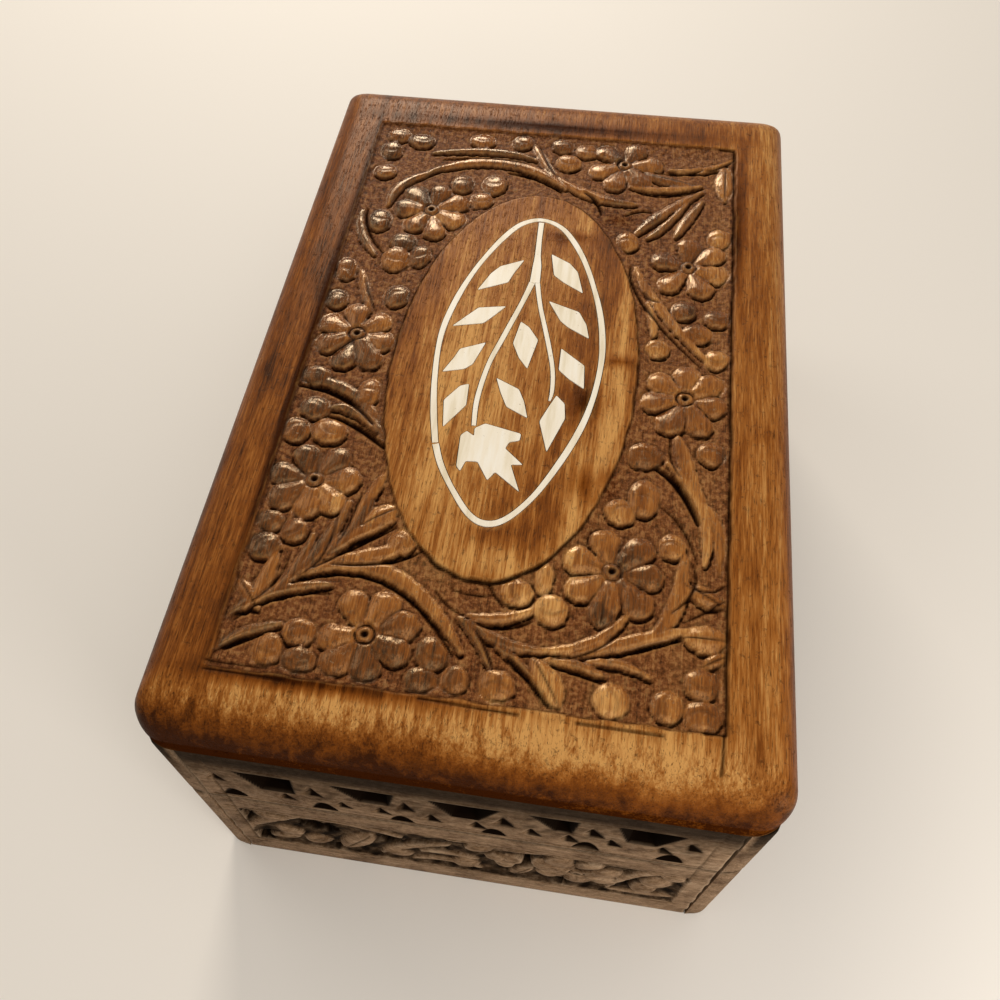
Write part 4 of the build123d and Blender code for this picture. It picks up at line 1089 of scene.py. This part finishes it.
def wall_motifs(x, z):
    """The motifs of the front wall's band, and how deep the gouge went between them."""
    carving = all_motifs(Carving(x, z, slope=wall_cut_slope), front_flowers, wall_petal_radius,
                         front_buds, front_leaves, front_stems)
    pits = np.zeros(x.shape)
    for px, pz, wide, high in front_pits:
        gap = np.hypot((x - px) / wide, (z - pz) / high) + 0.25 * ripple(x, z, 4.1)
        pits = np.maximum(pits, np.clip(2.2 * (1.15 - gap), 0, 1))
    return carving, pits


# %% Heights over a wall
outward = {"front": (0, -1, 0), "back": (0, 1, 0), "left": (-1, 0, 0), "right": (1, 0, 0)}
long_sides = ("left", "right")
low_shift = 0.6             # how far the knife reached to the lower side of a motif
band_inset = 10.5           # from a wall's corner to the end of its bands
front_depth, side_depth = 4.2, 3.0
motif_repeat = 108.0        # the floral band repeats about this often along a wall
drawn_half_width, drawn_depth, drawn_grime_and_shade = 0.4, 0.3, 0.8


def floral_band(x, z, length, deepest, planed):
    """Height, ground, and grime and painted shade of the sunk band on a wall of the body."""
    cell = length / max(1, round(length / motif_repeat))
    place = np.mod(x + length / 2, cell) - cell / 2
    motifs, pits = wall_motifs(place, z)
    shifted, _ = wall_motifs(place, z + low_shift)
    border = np.minimum(length / 2 - np.abs(x), np.minimum(z - band_low, band_high - z))
    border = border + 0.5 * ripple(x, z, 11.0)
    floor_height = -0.4 - 0.9 * np.clip(border / 3, 0, 1) - (deepest - 1.6) * pits + gouged(x, z)
    floor_height = np.maximum(floor_height, planed - 1.4 * np.clip(border, 0, None) * (1 + 3 * pits))
    carved, grime_and_shade = stand_on(motifs, shifted, floor_height)
    ground = (border > 0) * np.clip(motifs.edge / 0.5 + 0.5, 0, 1)
    # The sunk floor is painted nearly black, most in the pits: painted shade and grime
    floor_grime_and_shade = ground * np.clip(0.84 + 0.25 * ripple(x, z, 9.0) + pits, 0, 1)
    grime_and_shade = np.maximum(grime_and_shade, floor_grime_and_shade) * (border > 0)
    return np.where(border > 0, carved, planed), ground, grime_and_shade


def lattice_band(x, z, side, length, deepest, planed):
    """Height, ground, and grime and painted shade of the chip cuts on a wall of the lid."""
    front_cuts = front_troughs, front_arches, front_chips
    cut_lists = front_cuts if side == "front" else repeated_cuts(length)
    depth, grime_and_shade = chip_band(x, z, *cut_lists, deepest)
    # Between the chips the wall is painted darker, most near the troughs: grime and painted shade
    dirt_and_shade = np.clip(0.42 + 0.3 * ripple(x, z, 8.0), 0, 1) * np.clip((z - 51) / 8, 0, 1)
    grime_and_shade = np.maximum(grime_and_shade, dirt_and_shade * np.clip(length / 2 - np.abs(x), 0, 1))
    return planed - depth, np.zeros(x.shape), grime_and_shade


def carve_wall(x, z, side, upper):
    """Height, ground, and grime and painted shade of one wall's outer face."""
    long_side = side in long_sides
    length = 2 * ((wall_face_y if long_side else wall_face_x) - band_inset)
    deepest = side_depth if long_side else front_depth
    planed = -0.06 + 0.03 * ripple(x, z, 16.0)
    if upper:
        height, ground, grime_and_shade = lattice_band(x, z, side, length, deepest, planed)
    else:
        height, ground, grime_and_shade = floral_band(x, z, length, deepest, planed)
    # Lines drawn with a point along the bands and down the sides, painted dark as painted shade and grime
    for line in (69.6, 48.6) if upper else (38.8, 9.6):
        off_line = np.abs(z - line - 0.3 * np.sin(x / 9.0))
        stroke = np.clip(1 - off_line / drawn_half_width, 0, 1) * (np.abs(x) < length / 2 + 3)
        height, grime_and_shade = height - drawn_depth * stroke, np.maximum(grime_and_shade, drawn_grime_and_shade * stroke)
    for line in (-length / 2 - 0.4, length / 2 + 0.2):
        off_line = np.abs(x - line - 0.02 * (z - 40))
        stroke = np.clip(1 - off_line / drawn_half_width, 0, 1) * (z > 9)
        height, grime_and_shade = height - drawn_depth * stroke, np.maximum(grime_and_shade, drawn_grime_and_shade * stroke)
    return height, ground, grime_and_shade


# %% [markdown]
# A wall board could be a box that is divided evenly, but only its outer face is carved. So it begins as a
# coarse grid over that face, with the long boards' grid bent round the worn corners. Its border is drawn
# back to the inner face and closed. Then the rebate for the bottom panel and the two coves for the hinge
# barrels are cut, and the outer face alone is refined and carved like the lid.

# %% Wall boards
wall_radius = 4.0
rim_wear = 0.35
panel_low, panel_high = (Vector(corner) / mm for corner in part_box("bottom_panel"))
panel_play = 0.15
barrel_room = 1.3
short_columns, long_columns, corner_steps = 57, 92, 6
row_height = 2.0
hinge_axis = Vector(frame["joints"][0]["pos_m"]) / mm


def wall_columns(side):
    """Columns of the outer face from left to right: place along the wall and depth behind the face."""
    if side in ("front", "back"):
        return [(place, 0.0) for place in np.linspace(-inner_x, inner_x, short_columns + 1)]
    flat = wall_face_y - wall_radius
    middle = [(place, 0.0) for place in np.linspace(-flat, flat, long_columns + 1)]
    tail = [(flat + wall_radius * sin(turn), wall_radius * (1 - cos(turn)))
            for turn in np.linspace(0, pi / 2, corner_steps + 1)[1:]]
    tail.append((wall_face_y, wall_face_x - inner_x))
    return [(-place, depth) for place, depth in reversed(tail)] + middle + tail


def block(bm, low, high):
    """Adds a box between two corners, given in millimetres."""
    made = bmesh.ops.create_cube(bm, size=1.0)["verts"]
    low, high = Vector(low), Vector(high)
    bmesh.ops.scale(bm, vec=(high - low) * mm, verts=made)
    bmesh.ops.translate(bm, vec=(high + low) / 2 * mm, verts=made)


def barrel_cove(bm, middle, length):
    """Adds a cylinder along the hinge axis."""
    made = bmesh.ops.create_cone(bm, cap_ends=True, segments=32, radius1=barrel_room * mm,
                                 radius2=barrel_room * mm, depth=length * mm,
                                 matrix=Matrix.Rotation(pi / 2, 4, "X"))["verts"]
    bmesh.ops.translate(bm, vec=Vector((hinge_axis.x, middle, hinge_axis.z)) * mm, verts=made)


# %% A wall board before it is carved
def wall_board(side, upper):
    """One wall board, closed and cut for its neighbours, before it is carved."""
    name = f"{'lid' if upper else 'body'}_{side}_board"
    low, high = (Vector(corner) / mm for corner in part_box(name))
    normal = Vector(outward[side])
    across = Vector((0, 0, 1)).cross(normal)
    long_side = side in long_sides
    face, inner = (wall_face_x, inner_x) if long_side else (wall_face_y, inner_y)
    columns = wall_columns(side)
    rows = np.linspace(low.z, high.z, round((high.z - low.z) / row_height) + 1)
    bm = bmesh.new()
    ruled_grid(bm, range(len(columns)), rows)
    column_of = bm.verts.layers.int.new("column")
    for vert in bm.verts:
        number = round(vert.co.x)
        along, depth = columns[number]
        vert[column_of] = number
        vert.co = (normal * (face - depth) + across * along + Vector((0, 0, vert.co.y))) * mm
    drawn = bmesh.ops.extrude_edge_only(bm, edges=[edge for edge in bm.edges if edge.is_boundary])["geom"]
    for vert in (part for part in drawn if isinstance(part, bmesh.types.BMVert)):
        place = normal * inner + across * columns[vert[column_of]][0]
        vert.co = (place.x * mm, place.y * mm, vert.co.z)
    bmesh.ops.remove_doubles(bm, verts=bm.verts, dist=1e-6)
    bmesh.ops.holes_fill(bm, edges=[edge for edge in bm.edges if edge.is_boundary])
    bmesh.ops.recalc_face_normals(bm, faces=bm.faces)
    bm.verts.layers.int.remove(column_of)
    board = finish_mesh(bm, f"carved_{name}", "lid" if upper else "box", name)
    cutters = bmesh.new()
    if not upper:
        block(cutters, panel_low - Vector((panel_play, panel_play, 1)),
              panel_high + Vector((panel_play, panel_play, panel_play)))
    if side == "right":
        for end in ("front", "back"):
            pin_low, pin_high = (Vector(corner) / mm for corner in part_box(f"hinge_{end}_pin"))
            barrel_cove(cutters, (pin_low.y + pin_high.y) / 2, pin_high.y - pin_low.y + 1)
    if cutters.verts:
        cut_away(board, cutters)
    return board, low.z, high.z


# %% Carve the walls
joint_opening, joint_depth = 0.55, 1.2
body_seam, lid_seam = 47.0, 46.8


def seam_plank_shade_and_rims(z, low, high, upper):
    """The dark seam between lid and body, the painted shade under the plank, and dirt on the rims."""
    seam = np.clip(1 - np.abs(z - (lid_seam if upper else body_seam)) / 0.9, 0, 1)
    # Painted shade under the plank, darkest in a line just below it
    shade_under_plank = np.clip((z - 60.0) / 14.0, 0, 0.9) + 0.35 * np.clip((z - 77.3) / 0.6, 0, 1)
    rims = 0.25 * (np.minimum(z - low, high - z) < 0.9)
    return np.maximum(seam, shade_under_plank), rims


def carve_board(board, side, upper, low, high):
    """Refines and carves the outer face of a wall board, and wears its rims."""
    normal = np.array(outward[side])
    across = np.array(Vector((0, 0, 1)).cross(Vector(outward[side])))
    long_side = side in long_sides
    face = wall_face_x if long_side else wall_face_y
    flat = wall_face_y - wall_radius if long_side else inner_x

    def on_face(cell):
        middle = cell.calc_center_median() / mm
        return abs(middle.dot(Vector(outward[side])) - face) < 1e-3

    refine(board, on_face, front_parts if side == "front" else usual_parts)
    points = points_of(board.data)
    along, out, z = points @ across, points @ normal, points[:, 2]
    past = np.clip(np.abs(along) - flat, 0, None)
    from_centre = out - (face - wall_radius)
    on_flat = (past < 1e-3) & (out > face - 1e-2)
    off_arc = np.abs(np.hypot(past, from_centre) - wall_radius)
    on_arc = (past >= 1e-3) & (from_centre > -1e-3) & (off_arc < 0.05)
    height, ground, grime_and_shade = averaged(lambda x, y: carve_wall(x, y, side, upper), along, z)
    height = np.where(on_flat, height, -0.06 * on_arc)
    worn = np.clip(1 - np.minimum(z - low, high - z) / 0.8, 0, 1) ** 2
    height = np.where(on_flat | on_arc, np.minimum(height, -rim_wear * worn), 0)
    # The boards have shrunk a little, so that the joints at the corners stand open
    opening = np.maximum(joint_opening + 0.35 * ripple(z, along, 17.0), 0.2)
    joint = 0 if long_side else np.clip(1 - (inner_x - np.abs(along)) / opening, 0, 1)
    height = height - joint_depth * joint * on_flat
    seam_and_plank_shade, rims = seam_plank_shade_and_rims(z, low, high, upper)
    grime_and_shade = np.maximum(np.maximum(grime_and_shade, joint) * on_flat, seam_and_plank_shade * (on_flat | on_arc))
    turn = np.where(on_arc, np.arctan2(past, from_centre), 0)
    step = normal * np.cos(turn)[:, None] + across * (np.sign(along) * np.sin(turn))[:, None]
    points += step * height[:, None]
    move_points(board.data, points)
    stain = 0.9 * np.clip(ripple(along, z, 27.0) + 0.4 * ripple(z, along, 9.0), 0, 1)
    keep_values(board.data, "ground", ground * on_flat)
    keep_values(board.data, "stain", stain)
    keep_values(board.data, "grime_and_shade", np.clip(np.maximum(grime_and_shade, rims), 0, 1))
    keep_hollowness(board.data)
    shade_smooth(board.data)


walls = []
for side in outward:
    for upper in (False, True):
        board, low, high = wall_board(side, upper)
        carve_board(board, side, upper, low, high)
        report(board)
        walls.append((board, side))

# %% [markdown]
# ## Wood
# The boards look like sheesham, a brown hardwood that was stained and waxed. One stretched noise would
# give stripes of one size. Real wood has broad bands of heartwood, narrower streaks and fine fibres, all
# along the grain, and open pores that look like short dark dashes, so each gets its own layer. Hands
# have rubbed the wax on the motifs to a shine, and the cuts are painted dark, as grime and painted
# shade. Pores are a tenth of a millimetre wide on the real wood, and are drawn more than twice as wide
# so that they show.

# %% Grain, and the numbers that were kept
# Each layer's size in millimetres across and along the grain, and how much it is bent
grain_layers = {
    "band": (12, 150, 0.8), "streak": (2.0, 44, 0.5), "fibre": (0.42, 7, 0.3),
    "pore": (0.24, 3.0, 0.0), "blotch": (14, 26, 0.5),
}
speckle_size = 1.3
kept_kinds = ("ground", "hollow", "grime_and_shade", "sap_and_highlight", "stain", "polish", "tone")


def grain_noise(tree, place, grain_turn):
    """The layers that run along the grain, and the speckle of torn wood, which doesn't."""
    turned = add_node(tree, "ShaderNodeMapping", {
        "Vector": place, "Rotation": (0, 0, grain_turn)}).outputs[0]
    noise = {}
    for layer, (wide, long, bend) in grain_layers.items():
        scale = (1 / (wide * mm), 1 / (long * mm), 1 / (wide * mm))
        scaled = add_node(tree, "ShaderNodeMapping", {"Vector": turned, "Scale": scale})
        noise[layer] = add_node(tree, "ShaderNodeTexNoise", {
            "Vector": scaled.outputs[0], "Scale": 1.0, "Detail": 5.0, "Roughness": 0.62,
            "Distortion": bend}).outputs["Fac"]
    noise["speckle"] = add_node(tree, "ShaderNodeTexNoise", {
        "Vector": place, "Scale": 1 / (speckle_size * mm), "Detail": 5.0, "Roughness": 0.7}).outputs["Fac"]
    return noise


# %% Colour of the wood before it got dirty
def planed_shade(tree, place, noise, kept, shades, tone):
    """From the darkest to the palest shade: banded, paler to the right by tone, with sap and stains."""
    mixed = add_node(tree, "ShaderNodeMix", {
        "Factor": 0.45, 2: noise["band"], 3: noise["streak"]}).outputs[0]
    mixed = add_node(tree, "ShaderNodeMix", {"Factor": 0.42, 2: mixed, 3: noise["fibre"]}).outputs[0]
    mixed = add_node(tree, "ShaderNodeMapRange", {
        "Value": mixed, "From Min": 0.31, "From Max": 0.69}, clamp=False).outputs[0]
    # Paler towards +x by tone; on the short walls this is painted light from the right
    aside = add_node(tree, "ShaderNodeSeparateXYZ", {"Vector": place}).outputs["X"]
    aside = add_node(tree, "ShaderNodeMapRange", {
        "Value": aside, "From Min": -60 * mm, "From Max": 60 * mm,
        "To Min": -tone, "To Max": tone}).outputs[0]
    mixed = add_node(tree, "ShaderNodeMath", {0: mixed, 1: aside}, operation="ADD").outputs[0]
    mixed = add_node(tree, "ShaderNodeMath", {
        0: kept["tone"], 1: 0.16, 2: mixed}, operation="MULTIPLY_ADD").outputs[0]
    sap_and_highlight = add_node(tree, "ShaderNodeMapRange", {
        "Value": noise["streak"], "From Min": 0.3, "From Max": 0.65,
        "To Min": 0.22, "To Max": 0.62}).outputs[0]
    mixed = add_node(tree, "ShaderNodeMath", {
        0: kept["sap_and_highlight"], 1: sap_and_highlight, 2: mixed}, operation="MULTIPLY_ADD").outputs[0]
    blot = add_node(tree, "ShaderNodeMapRange", {
        "Value": noise["blotch"], "From Min": 0.5, "From Max": 0.7, "To Max": 0.2}).outputs[0]
    stain = add_node(tree, "ShaderNodeMapRange", {
        "Value": noise["fibre"], "From Min": 0.36, "From Max": 0.62,
        "To Min": 0.25, "To Max": 0.7}).outputs[0]
    stain = add_node(tree, "ShaderNodeMath", {
        0: kept["stain"], 1: stain, 2: blot}, operation="MULTIPLY_ADD").outputs[0]
    mixed = add_node(tree, "ShaderNodeMath", {0: mixed, 1: stain}, operation="SUBTRACT").outputs[0]
    return add_node(tree, "ShaderNodeValToRGB", {"Fac": mixed}, stops=shades).outputs[0]


def carved_shade(tree, noise, kept, shade, floor_shades, palest, torn_share):
    """Adds the speckled floor that the gouge left, and a paler shade on ridges: worn wood and a painted
    highlight.
    """
    torn = add_node(tree, "ShaderNodeMix", {
        "Factor": 0.2, 2: noise["speckle"], 3: noise["fibre"]}).outputs[0]
    floor_shade = add_node(tree, "ShaderNodeValToRGB", {"Fac": torn}, stops=floor_shades).outputs[0]
    rough = add_node(tree, "ShaderNodeMapRange", {
        "Value": kept["ground"], "To Min": torn_share, "To Max": 0.8}).outputs[0]
    shade = add_node(tree, "ShaderNodeMix", {
        "Factor": rough, 6: shade, 7: floor_shade}, data_type="RGBA").outputs[2]
    # Ridges are painted paler: worn wood, and a painted highlight
    ridge = add_node(tree, "ShaderNodeMapRange", {
        "Value": kept["hollow"], "From Min": -0.2, "From Max": -1.0, "To Max": 0.35}).outputs[0]
    return add_node(tree, "ShaderNodeMix", {
        "Factor": ridge, 6: shade, 7: colour(palest)}, data_type="RGBA").outputs[2]


# %% Dirt, painted shade and relief of the wood
def dark_places(tree, noise, kept):
    """Pores and flecks, and the dark painted in hollows and cuts: painted shade and dirt."""
    pore = add_node(tree, "ShaderNodeMapRange", {
        "Value": noise["pore"], "From Min": 0.56, "From Max": 0.68, "To Max": 0.7}).outputs[0]
    fleck = add_node(tree, "ShaderNodeMapRange", {
        "Value": noise["speckle"], "From Min": 0.585, "From Max": 0.68, "To Max": 0.55}).outputs[0]
    # Hollows are painted dark: painted shade, and dirt
    hollow = add_node(tree, "ShaderNodeMapRange", {
        "Value": kept["hollow"], "From Min": 0.1, "From Max": 0.8, "To Max": 0.9}).outputs[0]
    spots = add_node(tree, "ShaderNodeMath", {0: pore, 1: fleck}, operation="MAXIMUM").outputs[0]
    dirt_and_shade = add_node(tree, "ShaderNodeMath", {
        0: hollow, 1: kept["grime_and_shade"]}, operation="MAXIMUM").outputs[0]
    return spots, dirt_and_shade


def wood_relief(tree, noise, kept, spots):
    """Fibres stand up a little, pores are open, and the carved floor and stained wood are torn."""
    bump = add_node(tree, "ShaderNodeBump", {
        "Height": noise["fibre"], "Distance": 0.08 * mm, "Strength": 0.7}).outputs[0]
    bump = add_node(tree, "ShaderNodeBump", {
        "Height": spots, "Distance": -0.1 * mm, "Strength": 0.7, "Normal": bump}).outputs[0]
    torn = add_node(tree, "ShaderNodeMath", {
        0: kept["stain"], 1: 0.35, 2: kept["ground"]}, operation="MULTIPLY_ADD").outputs[0]
    torn = add_node(tree, "ShaderNodeMath", {0: noise["speckle"], 1: torn}, operation="MULTIPLY").outputs[0]
    return add_node(tree, "ShaderNodeBump", {
        "Height": torn, "Distance": 0.7 * mm, "Strength": 0.8, "Normal": bump}).outputs[0]


def rubbed_wax(tree, kept, dirt_and_shade, plain_shine, gloss):
    """Wax shines on the motifs that hands have rubbed, and is gone where grime, stains and painted shade
    lie.
    """
    soiled_and_shaded = add_node(tree, "ShaderNodeMath", {
        0: dirt_and_shade, 1: kept["stain"]}, operation="MAXIMUM").outputs[0]
    clean = add_node(tree, "ShaderNodeMath", {
        0: 1.0, 1: soiled_and_shaded}, operation="SUBTRACT", use_clamp=True).outputs[0]
    wax = add_node(tree, "ShaderNodeMapRange", {
        "Value": kept["polish"], "To Min": plain_shine, "To Max": 0.8}).outputs[0]
    wax = add_node(tree, "ShaderNodeMath", {0: wax, 1: clean}, operation="MULTIPLY").outputs[0]
    sleek = add_node(tree, "ShaderNodeMath", {
        0: kept["polish"], 1: -0.2, 2: gloss}, operation="MULTIPLY_ADD").outputs[0]
    return wax, sleek


# %% Wood
def wood(name, grain_turn, shades, floor_shades, dark_shade, roughness, tone=0.0, torn_share=0.0,
         shine=0.08, waxed=False):
    """Stained hardwood: banded along its grain, rough on the carved floor, and painted dark in the
    cuts with grime and painted shade.
    """
    material, tree = new_material(name)
    place = add_node(tree, "ShaderNodeTexCoord").outputs["Object"]
    noise = grain_noise(tree, place, grain_turn)
    kept = {kind: add_node(tree, "ShaderNodeAttribute", attribute_name=kind).outputs["Fac"]
            for kind in kept_kinds}
    shade = planed_shade(tree, place, noise, kept, shades, tone)
    shade = carved_shade(tree, noise, kept, shade, floor_shades, shades[-1][1], torn_share)
    spots, dirt_and_shade = dark_places(tree, noise, kept)
    # Pores, dirt and painted shade all darken towards the dark shade
    dark = add_node(tree, "ShaderNodeMath", {0: spots, 1: dirt_and_shade}, operation="MAXIMUM").outputs[0]
    shade = add_node(tree, "ShaderNodeMix", {
        "Factor": dark, 6: shade, 7: colour(dark_shade)}, data_type="RGBA").outputs[2]
    gloss = add_node(tree, "ShaderNodeMath", {
        0: dark, 1: 0.4, 2: roughness}, operation="MULTIPLY_ADD").outputs[0]
    finish = {"Base Color": shade, "Roughness": gloss, "Normal": wood_relief(tree, noise, kept, spots),
              "Specular IOR Level": shine, "Specular Tint": colour("FFDCA8")}
    if waxed:
        finish["Specular IOR Level"], finish["Roughness"] = rubbed_wax(tree, kept, dirt_and_shade, shine, gloss)
    shader = add_node(tree, "ShaderNodeBsdfPrincipled", finish)
    add_node(tree, "ShaderNodeOutputMaterial", {"Surface": shader.outputs[0]})
    return material


def clothe(piece, material):
    """Gives a piece or a CAD node one material."""
    piece.data.materials.clear()
    piece.data.materials.append(material)


# The plank is waxed heartwood, the walls are the same wood, grey and dull with age, and the panel is raw
clothe(lid_board, wood(
    "waxed_sheesham", 0.0, [(0.05, "3A1A06"), (0.38, "7A4213"), (0.62, "9E6229"), (0.98, "D09A58")],
    [(0.38, "30170A"), (0.5, "744324"), (0.65, "B58452")], "120602", 0.37,
    tone=0.13, shine=0.15, waxed=True))
wall_shades = [(0.1, "4A3624"), (0.4, "7A6149"), (0.62, "997D61"), (0.98, "C0A88C")]
wall_floor_shades = [(0.38, "46301E"), (0.5, "80644A"), (0.64, "B0957A")]
along_y, along_x = 0.0, pi / 2
long_wood = wood("dull_sheesham_long_boards", along_y, wall_shades, wall_floor_shades, "0D0603", 0.7,
                 torn_share=0.45)
# The short boards are painted paler towards +x by tone, as painted light
short_wood = wood("dull_sheesham_short_boards", along_x, wall_shades, wall_floor_shades, "0D0603", 0.7,
                  tone=0.12, torn_share=0.45)
for board, side in walls:
    clothe(board, long_wood if side in long_sides else short_wood)
panel_shades = [(0.1, "5C3C22"), (0.5, "8C6440"), (0.98, "B48C60")]
clothe(nodes["bottom_panel"], wood(
    "raw_panel_wood", along_y, panel_shades, panel_shades, "2A170A", 0.8))


# %% [markdown]
# ## Bone, brass and steel
# The white pieces look like polished bone: not quite white, with faint streaks and a few grey specks. The
# hinges are stamped brass that has gone dull and brown in patches, and the nails are plain steel that has
# begun to rust. A single colour would read as plastic, so each has a noise of its own real size.

# %% Small materials
def bone():
    """Bone is a warm white with faint lengthwise streaks and a few specks of wax and dirt."""
    material, tree = new_material("polished_bone")
    place = add_node(tree, "ShaderNodeTexCoord").outputs["Object"]
    streak_scale = (1 / (1.6 * mm), 1 / (14 * mm), 1 / (1.6 * mm))
    scaled = add_node(tree, "ShaderNodeMapping", {"Vector": place, "Scale": streak_scale}).outputs[0]
    streak = add_node(tree, "ShaderNodeTexNoise", {
        "Vector": scaled, "Scale": 1.0, "Detail": 3.0}).outputs["Fac"]
    shade = add_node(tree, "ShaderNodeValToRGB", {"Fac": streak},
                     stops=[(0.3, "E4D8BC"), (0.5, "F5ECD8"), (0.7, "FAF5E8")]).outputs[0]
    speck = add_node(tree, "ShaderNodeTexNoise", {"Vector": place, "Scale": 1 / (0.9 * mm), "Detail": 3.0})
    speck = add_node(tree, "ShaderNodeMapRange", {
        "Value": speck.outputs["Fac"], "From Min": 0.68, "From Max": 0.76, "To Max": 0.55}).outputs[0]
    shade = add_node(tree, "ShaderNodeMix", {
        "Factor": speck, 6: shade, 7: colour("7A6446")}, data_type="RGBA").outputs[2]
    bump = add_node(tree, "ShaderNodeBump", {"Height": streak, "Distance": 0.03 * mm, "Strength": 0.5})
    shader = add_node(tree, "ShaderNodeBsdfPrincipled", {
        "Base Color": shade, "Roughness": 0.42, "IOR": 1.54, "Normal": bump.outputs[0]})
    add_node(tree, "ShaderNodeOutputMaterial", {"Surface": shader.outputs[0]})
    return material


def old_metal(name, clean, tarnish, spot, roughness):
    """Metal with dull patches of tarnish, as large as the spot in millimetres."""
    material, tree = new_material(name)
    place = add_node(tree, "ShaderNodeTexCoord").outputs["Object"]
    patch = add_node(tree, "ShaderNodeTexNoise", {
        "Vector": place, "Scale": 1 / (spot * mm), "Detail": 5.0, "Roughness": 0.6}).outputs["Fac"]
    dull = add_node(tree, "ShaderNodeMapRange", {
        "Value": patch, "From Min": 0.42, "From Max": 0.68}).outputs[0]
    shade = add_node(tree, "ShaderNodeMix", {
        "Factor": dull, 6: colour(clean), 7: colour(tarnish)}, data_type="RGBA").outputs[2]
    gloss = add_node(tree, "ShaderNodeMath", {
        0: dull, 1: 0.35, 2: roughness}, operation="MULTIPLY_ADD").outputs[0]
    bump = add_node(tree, "ShaderNodeBump", {"Height": patch, "Distance": 0.05 * mm, "Strength": 0.5})
    shader = add_node(tree, "ShaderNodeBsdfPrincipled", {
        "Base Color": shade, "Roughness": gloss, "Metallic": 1.0, "Normal": bump.outputs[0]})
    add_node(tree, "ShaderNodeOutputMaterial", {"Surface": shader.outputs[0]})
    return material


polished_bone = bone()
for piece in inlay_pieces:
    clothe(piece, polished_bone)
    report(piece)
brass = old_metal("stamped_brass", "C39A52", "6E4F28", 2.4, 0.3)
steel = old_metal("rusted_steel", "7A746C", "4A2E1C", 0.7, 0.42)
for name, node in nodes.items():
    if name.startswith("hinge_"):
        clothe(node, brass)
    elif name.endswith("brads"):
        clothe(node, steel)
